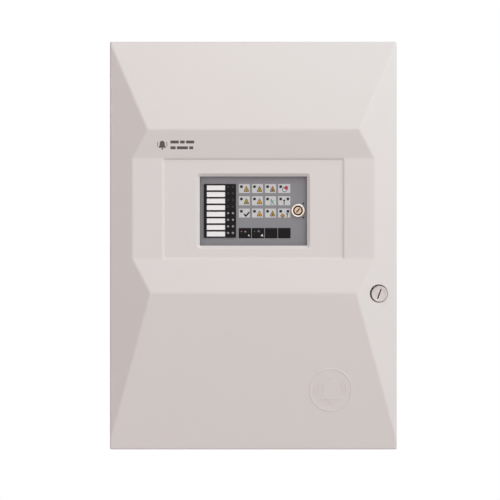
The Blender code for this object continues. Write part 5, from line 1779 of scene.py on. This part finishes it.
@dataclass
class ControlModule:
    """Chassis, display board, its screws and the flat cable."""

    screw_head: float = 2.6 * MM
    cross: Point2 = (2.9 * MM, 0.6 * MM)

    def build(self) -> None:
        """Dress the frame, make the screws, and lay small parts on the display board."""
        softened("module_chassis", "module_bracket", ZINC, 0.3 * MM)
        dress(BOARD_GREEN, "display_board")
        for number in (1, 2, 3, 4):
            self.build_screw(number)
        y = reach("ribbon_cable", Axis.Y)
        plugs = ((y[0], y[0] + 8 * MM), (y[1] - 8 * MM, y[1]))
        left = reach("ribbon_cable", Axis.X)[0]
        dress(FlatCable("flat_cable", tint(150, 150, 152), plugs=plugs, edge_x=left), "ribbon_cable")
        self.build_board_parts()

    def build_screw(self, number: int) -> None:
        """Make a pan-head screw with a cross recess.

        Args:
            number: Which of the four.
        """
        node = f"fascia_screw_{number}"
        at, (top, end) = centre(node), reach(node, Axis.Y)
        head, shank, under = self.screw_head, 1.3 * MM, top + 1.5 * MM
        profile = [(0.8 * MM, top)] + arc((head - 1.0 * MM, top + 1.0 * MM), 1.0 * MM, -80, 0, 5)
        profile += [(head, under), (shank, under), (shank, end - 0.6 * MM), (shank - 0.5 * MM, end)]
        screw = Form().turned(at, profile, sides=32).done(f"module_screw_{number}")
        cuts = []
        for across, up in (self.cross, reversed(self.cross)):
            slot = Form().box(about(at[0], across), (top - MM, top + MM), about(at[1], up))
            cuts.append((Cut.AWAY, slot))
        worked(screw, cuts)
        present(eased(screw, 0, angle=35), SCREW_STEEL, "root", [node])

    def build_board_parts(self) -> None:
        """Chips on the back of the display board."""
        back = reach("display_board", Axis.Y)[1]
        _, z = centre("display_board")
        chips = Form()
        for x in (-40 * MM, 22 * MM, 46 * MM):
            chips.box(about(x, 12 * MM), (back, back + 2 * MM), about(z - 26 * MM, 6 * MM))
        show(chips, "display_chips", CHIP_GREY, width=0.3 * MM)


@dataclass
class MainBoard:
    """Main circuit board with its terminals, relays and small parts."""

    terminal_pitch: float = 5.08 * MM
    pin_pitch: float = 2.54 * MM
    screw: float = 1.7 * MM
    screw_inset: float = 6 * MM
    resistor_row: float = 19 * MM
    capacitor_row: float = 46 * MM
    chip_row: float = 58 * MM

    def __post_init__(self) -> None:
        """Read the board's places from the frame."""
        self.face = reach("main_board", Axis.Y)[0]
        self.low, self.top = reach("main_board", Axis.Z)

    def on_board(self, height: float, lift: float = 0.0) -> Span:
        """Depth span of a part on the board: how far its top and its foot are from the board, in mm."""
        return self.face - height * MM, self.face - lift * MM

    def build(self) -> None:
        """Dress the board and make what stands on it."""
        dress(BOARD_GREEN, "main_board")
        for side in ("zone", "output"):
            self.build_terminals(side)
        for number in (1, 2):
            softened(f"relay_{number}", f"relay_case_{number}", RELAY_BLACK, 0.5 * MM)
        softened("regulator_heat_sink", "heat_sink_fins", ALUMINIUM, 0.2 * MM)
        softened("processor_chip", "processor_case", CHIP_GREY, 0.2 * MM)
        softened("sounder", "sounder_case", RELAY_BLACK, 0.4 * MM, angle=40)
        self.build_capacitor()
        self.build_chips()
        self.build_resistors()
        self.build_small_capacitors()
        self.build_screws()
        self.build_header()

    def build_terminals(self, side: str) -> None:
        """Ease a terminal block and set its screws.

        Args:
            side: Which block, by its node's first word.
        """
        node = f"{side}_terminals"
        softened(node, f"{side}_terminal_block", TERMINAL_GREEN, 0.25 * MM)
        x, y = reach(node, Axis.X), reach(node, Axis.Y)
        z = middle(reach(node, Axis.Z)) + 1.0 * MM
        ways = int((x[1] - x[0]) / self.terminal_pitch)
        form = Form()
        for i in range(ways):
            at = middle(x) + (i - (ways - 1) / 2) * self.terminal_pitch
            for sign in (-1, 1):
                first = 90 - 80 * sign if sign > 0 else 190
                half = arc((at, z), self.screw, first, first + 160, 10)
                form.prism(half, (y[0] - 0.25 * MM, y[0] + MM))
            form.rod((at, z), self.screw * 0.96, (y[0] - 0.05 * MM, y[0] + MM), sides=20)
        show(form, f"{side}_terminal_screws", SCREW_STEEL, width=0.08 * MM)

    def build_capacitor(self) -> None:
        """Dress the large capacitor's sleeve and set its vented metal top."""
        at, y = centre("smoothing_capacitor"), reach("smoothing_capacitor", Axis.Y)
        sleeve = Sleeve("capacitor_sleeve", tint(34, 46, 84), 0.35, stripe_x=at[0] - 5 * MM)
        dress(sleeve, "smoothing_capacitor")
        rim = turns(y[0], (7.9, 0.3), (7.9, -0.1), (7.3, -0.25))
        top = Form().turned(at, rim).done("capacitor_top")
        vents = []
        for size in ((10 * MM, 0.4 * MM), (0.4 * MM, 10 * MM)):
            vent = Form().box(about(at[0], size[0]), (y[0] - MM, y[0] - 0.1 * MM), about(at[1], size[1]))
            vents.append((Cut.AWAY, vent))
        worked(top, vents)
        present(eased(top, 0, angle=40), TINNED, "root")

    def build_chips(self) -> None:
        """A row of three through-hole chips with their legs."""
        bodies, legs = Form(), Form()
        z = self.top - self.chip_row
        for x, ways in ((-44 * MM, 8), (-18 * MM, 7), (10 * MM, 9)):
            bodies.box(about(x, ways * self.pin_pitch), self.on_board(4.2, 0.8), about(z, 6.4 * MM))
            for i in range(ways):
                at = x + (i - (ways - 1) / 2) * self.pin_pitch
                for side in (-1, 1):
                    edge = about(z + side * 3.7 * MM, 0.5 * MM)
                    legs.box(about(at, 1.1 * MM), self.on_board(2.6, 1.2), edge)
                    legs.box(about(at, 0.5 * MM), self.on_board(1.3), edge)
        show(bodies, "driver_chips", CHIP_GREY, width=0.3 * MM)
        show(legs, "driver_chip_legs", TINNED)

    def build_resistors(self) -> None:
        """A row of resistors behind the terminals, with bent leads and end caps."""
        bodies, leads = Form(), Form()
        z = self.top - self.resistor_row
        lift = self.face - 1.7 * MM
        profile = [(0.5, -3.2), (1.15, -2.9), (1.15, -2.0), (0.9, -1.7)]
        profile += [(r, -t) for r, t in reversed(profile)]
        for i in range(18):
            x = (-54 + 6.3 * i) * MM
            bodies.turned((x, lift), turns(z, *profile), Axis.Z, sides=14)
            for side in (-1, 1):
                path = [(x, lift, z + side * 3.0 * MM), (x, lift, z + side * 4.0 * MM)]
                path += [(x, lift + 0.5 * MM, z + side * 4.4 * MM), (x, self.face, z + side * 4.5 * MM)]
                leads.tube(path, 0.28 * MM, sides=6)
        show(bodies, "resistors", RESISTOR_BEIGE)
        show(leads, "resistor_leads", TINNED)

    def build_small_capacitors(self) -> None:
        """Small capacitors in blue sleeves with bare tops."""
        sleeves, tops = Form(), Form()
        z = self.top - self.capacitor_row
        low = self.face - 10 * MM
        can = turns(low, (2.2, 0.1), (3.0, 0.3), (3.0, 8.4), (2.8, 8.8), (3.0, 9.2), (3.0, 10.0))
        top = turns(low, (2.3, 0.4), (2.3, 0.0), (2.0, -0.1))
        for x in (-58, 28, 36, 44, 52):
            sleeves.turned((x * MM, z), can, sides=28)
            tops.turned((x * MM, z), top, sides=28)
        show(sleeves, "small_capacitors", BLUE_WIRE)
        show(tops, "small_capacitor_tops", TINNED)

    def build_screws(self) -> None:
        """Slotted screws in the board's corners."""
        heads, slots = Form(), Form()
        profile = turns(self.face, (2.2, -1.8), (2.9, -1.2), (2.9, -0.1))
        for a in grown(reach("main_board", Axis.X), -self.screw_inset):
            for b in grown((self.low, self.top), -self.screw_inset):
                heads.turned((a, b), profile, sides=28)
                slots.box(about(a, 7 * MM), self.on_board(2.8, 1.0), about(b, 0.7 * MM))
        screws = worked(heads.done("board_screws"), [(Cut.AWAY, slots)])
        present(eased(screws, 0, angle=35), SCREW_STEEL, "root")

    def build_header(self) -> None:
        """Pin header and a row of small lamps at the board's edge."""
        z = self.top - self.chip_row
        block, pins, lamps = Form(), Form(), Form()
        block.box(about(44 * MM, 26 * MM), self.on_board(2.5), about(z, 5.1 * MM))
        for i in range(10):
            x = 44 * MM + (i - 4.5) * self.pin_pitch
            for side in (-1, 1):
                pins.box(about(x, 0.64 * MM), self.on_board(8.5), about(z + side * 1.27 * MM, 0.64 * MM))
        dome = [(0.5, -4.6), *arc((0.0, -3.1), 1.5, -60, 0, 4), (1.5, -1.0), (1.8, -1.0), (1.8, 0.0)]
        for i in range(4):
            lamps.turned((-58 * MM, z + (6 - 5 * i) * MM), turns(self.face, *dome), sides=20)
        show(block, "pin_header", RELAY_BLACK, width=0.2 * MM)
        show(pins, "header_pins", TINNED)
        show(lamps, "board_lamps", GUIDE_MILKY)


@dataclass
class PowerSupply:
    """Transformer, mains terminals and fuse."""

    rivet_inset: float = 3.4 * MM
    clamp_pitch: float = 12 * MM
    clamp_floor: float = 9 * MM
    fuse_length: float = 30 * MM
    fuse_axis: float = 4.5 * MM

    def build(self) -> None:
        """Dress and ease the supply's pieces, and set their screws and caps."""
        softened("transformer_core", "transformer_stack", IRON, 0.3 * MM)
        softened("transformer_winding", "transformer_coil", TAPE, 1.2 * MM)
        softened("mains_terminals", "mains_block", KEY_BLACK, 0.4 * MM)
        softened("fuse_holder", "fuse_cradle", LABEL_CARD, 0.4 * MM, angle=40)
        self.build_rivets()
        self.build_mains_screws()
        self.build_fuse_caps()

    def build_rivets(self) -> None:
        """Rivets through the corners of the iron stack."""
        x, z = reach("transformer_core", Axis.X), reach("transformer_core", Axis.Z)
        front = reach("transformer_core", Axis.Y)[0]
        form = Form()
        head = turns(front, (0.9, -1.1), (1.7, -0.7), (2.1, 0.0), (2.1, 0.2))
        for a in grown(x, -self.rivet_inset):
            for b in grown(z, -self.rivet_inset):
                form.turned((a, b), head, sides=20)
        show(form, "stack_rivets", SCREW_STEEL, angle=40)

    def build_mains_screws(self) -> None:
        """Clamp screws at the bottom of the mains terminals' wells."""
        at, y = centre("mains_terminals"), reach("mains_terminals", Axis.Y)
        form = Form()
        for way in (-1, 0, 1):
            x = at[0] + way * self.clamp_pitch
            floor = y[0] + self.clamp_floor
            form.box(about(x, 6.4 * MM), (floor - 1.2 * MM, floor), about(at[1], 9.4 * MM))
            for first in (20, 200):
                half = arc((x, at[1]), 2.2 * MM, first, first + 140, 10)
                form.prism(half, (floor - 3.2 * MM, floor - 1.0 * MM))
        show(form, "mains_clamps", SCREW_STEEL, width=0.1 * MM)

    def build_fuse_caps(self) -> None:
        """Metal caps on both ends of the fuse's tube."""
        (x, z), front = centre("fuse_holder"), reach("fuse_holder", Axis.Y)[0]
        left, right = about(x, self.fuse_length)
        cap = [(3.9, -0.6), (4.5, -0.2), (4.65, 0.2), (4.65, 6.0), (4.52, 6.2)]
        form = Form()
        for end, inwards in ((left, 1), (right, -1)):
            profile = turns(end, *((radius, way * inwards) for radius, way in cap))
            form.turned((front + self.fuse_axis, z), profile, Axis.X, sides=32)
        show(form, "fuse_caps", TINNED, angle=40)


@dataclass
class Batteries:
    """Two sealed batteries with their leads, boots and strap."""

    label: Point2 = (76 * MM, 72 * MM)
    label_z: float = 62 * MM
    vent: Point2 = (13 * MM, 9 * MM)
    vent_pitch: float = 17 * MM
    tab_inset: float = 12 * MM
    tab_setback: float = 12 * MM

    def build(self) -> None:
        """Ease the cases and make the labels, lids and boots."""
        for number in (1, 2):
            softened(f"battery_{number}", f"battery_case_{number}", CASE_GREY, 0.9 * MM)
            self.build_label(number)
            self.build_vents(number)
            self.build_boots(number)
        softened("battery_strap", "battery_holding_strap", ZINC, 0.3 * MM)
        dress(RED_WIRE, "battery_lead_positive")
        dress(BLACK_WIRE, "battery_lead_negative")
        dress(BLUE_WIRE, "battery_link")

    def build_label(self, number: int) -> None:
        """Blank label with a coloured band and plain bars on a battery's front.

        Args:
            number: Which battery.
        """
        x, z = centre(f"battery_{number}")
        front = reach(f"battery_{number}", Axis.Y)[0]
        low = reach(f"battery_{number}", Axis.Z)[0]
        wide, (high, tall) = about(x, self.label[0]), (low + self.label_z, self.label[1])
        paper = rounded(wide, about(high, tall), 2 * MM)
        plate = Form().prism(paper, (front - 0.12 * MM, front + 0.1 * MM))
        show(plate, f"battery_label_{number}", TILE_INK)
        bars = Form()
        span = (front - 0.17 * MM, front + 0.1 * MM)
        bars.prism(rounded(wide, about(low + 90 * MM, 12 * MM), 2 * MM), span)
        for row, width in enumerate((58, 44, 62, 36)):
            left, line_z = x - 34 * MM, low + (76 - 5.5 * row) * MM
            bars.prism(rounded((left, left + width * MM), about(line_z, 2 * MM), 0.4 * MM), span)
        show(bars, f"battery_label_bars_{number}", BLUE_WIRE)

    def build_vents(self, number: int) -> None:
        """Raised vent covers on a battery's lid.

        Args:
            number: Which battery.
        """
        node = f"battery_{number}"
        x, y = reach(node, Axis.X), reach(node, Axis.Y)
        top = reach(node, Axis.Z)[1] - 6 * MM
        form = Form()
        for way in (-1, 0, 1):
            at = about(middle(x) + way * self.vent_pitch, self.vent[0])
            outline = rounded(at, about(middle(y), self.vent[1]), 2 * MM)
            form.prism(outline, (top - 0.3 * MM, top + 1.2 * MM), Axis.Z)
        show(form, f"battery_vents_{number}", CASE_GREY, width=0.4 * MM)

    def build_boots(self, number: int) -> None:
        """Insulating boots over a battery's two blades.

        Args:
            number: Which battery.
        """
        node = f"battery_{number}"
        x, z = reach(node, Axis.X), reach(node, Axis.Z)
        y = reach(node, Axis.Y)[0] + self.tab_setback
        inks = ((RED_WIRE, "red"), (BLACK_WIRE, "black"))
        for (finish, word), place in zip(inks, grown(x, -self.tab_inset)):
            base, top = z[1] - 5.4 * MM, z[1] + 2.4 * MM
            loops = []
            for width, t in ((6.6, base), (6.6, top - 3.4 * MM), (3.2, top)):
                outline = rounded(about(place, width * MM), about(y, 3.0 * MM), 0.9 * MM)
                loops.append([(a, b, t) for a, b in outline])
            name = f"battery_boot_{number}_{word}"
            show(Form().loft(loops), name, finish, width=0.3 * MM)


# ---------------------------------------------------------------- studio


@dataclass
class Studio:
    """Pale floor, soft lights and the camera."""

    distance: float = 8.0
    lens: float = 577.0
    aim: Point2 = (-3.4 * MM, -4.4 * MM)
    floor_x: Span = (-3.0, 3.0)
    floor_y: Span = (-4.0, 0.4)
    floor_z: float = -0.7
    sky_base: Colour = (0.14, 0.125, 0.122)
    sky_front: Colour = (0.995, 0.93, 0.945)
    sky_right: Colour = (0.89, 1.03, 1.03)
    lamp_at: Point3 = (0.29, -0.45, 0.78)
    lamp_size: float = 0.5
    lamp_power: float = 1.6
    lamp_colour: Colour = (0.72, 1.0, 0.95)

    def build_camera(self) -> None:
        """Set the camera straight in front of the door."""
        data = bpy.data.cameras.new("camera")
        data.lens = self.lens
        data.sensor_width = 36.0
        camera = linked("camera", data)
        front = reach("door_cover", Axis.Y)[0]
        camera.location = (self.aim[0], front - self.distance, self.aim[1])
        camera.rotation_euler = (math.radians(90), 0, 0)
        bpy.context.scene.camera = camera

    def build_lamp(self) -> None:
        """Hang a square soft lamp above and to the right of the panel."""
        data = bpy.data.lights.new("top lamp", "AREA")
        data.energy = self.lamp_power
        data.color = self.lamp_colour
        data.size = self.lamp_size
        lamp = linked("top lamp", data)
        lamp.location = self.lamp_at
        lamp.rotation_euler = Vector(self.lamp_at).to_track_quat("Z", "Y").to_euler()

    def build_world(self) -> None:
        """White backdrop for the camera; for everything else, soft walls in front and on the right."""
        world = bpy.data.worlds.new("studio")
        world.use_nodes = True
        bpy.context.scene.world = world
        nodes = NodeTree(world.node_tree)
        way = nodes.node("ShaderNodeTexCoord", output="Generated")
        right = nodes.node("ShaderNodeSeparateXYZ", inputs={0: way}, output="X").at_least(0.0)
        front = (0.0 - nodes.node("ShaderNodeSeparateXYZ", inputs={0: way}, output="Y")).at_least(0.0)
        walls = {"operation": "MULTIPLY_ADD"}
        sky = nodes.node("ShaderNodeVectorMath", walls, {0: front, 1: self.sky_front, 2: self.sky_base})
        sky = nodes.node("ShaderNodeVectorMath", walls, {0: right, 1: self.sky_right, 2: sky})
        soft = nodes.node("ShaderNodeBackground", inputs={"Color": sky})
        white = nodes.node("ShaderNodeBackground", inputs={"Color": (1.0, 1.0, 1.0)})
        seen = nodes.node("ShaderNodeLightPath", output="Is Camera Ray")
        mixed = nodes.node("ShaderNodeMixShader", inputs={0: seen, 1: soft, 2: white})
        nodes.feed(world.node_tree.nodes["World Output"].inputs["Surface"], mixed)

    def build_floor(self) -> None:
        """Lay the floor under the panel."""
        (left, right), (near, far) = self.floor_x, self.floor_y
        corners = ((left, near), (right, near), (right, far), (left, far))
        floor = Form().sheet([(x, y, self.floor_z) for x, y in corners]).done("floor")
        floor.data.materials.append(PrintedFilm("floor_paint", tint(232, 230, 228), 0.8).material)

    def build(self) -> None:
        """Make the studio."""
        bpy.context.scene.view_settings.view_transform = "Standard"
        self.build_camera()
        self.build_lamp()
        self.build_world()
        self.build_floor()


def main() -> None:
    """Make every sub-assembly in order."""
    logging.basicConfig(level=logging.INFO, format="%(name)s: %(message)s")
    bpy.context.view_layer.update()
    Studio().build()
    door = DoorCover()
    door.build()
    DoorMarks(door).build()
    BackBox().build()
    DoorLock().build()
    StatusTiles().build()
    ControlFace().build()
    ControlModule().build()
    MainBoard().build()
    PowerSupply().build()
    Batteries().build()


if __name__ == "__main__":
    main()
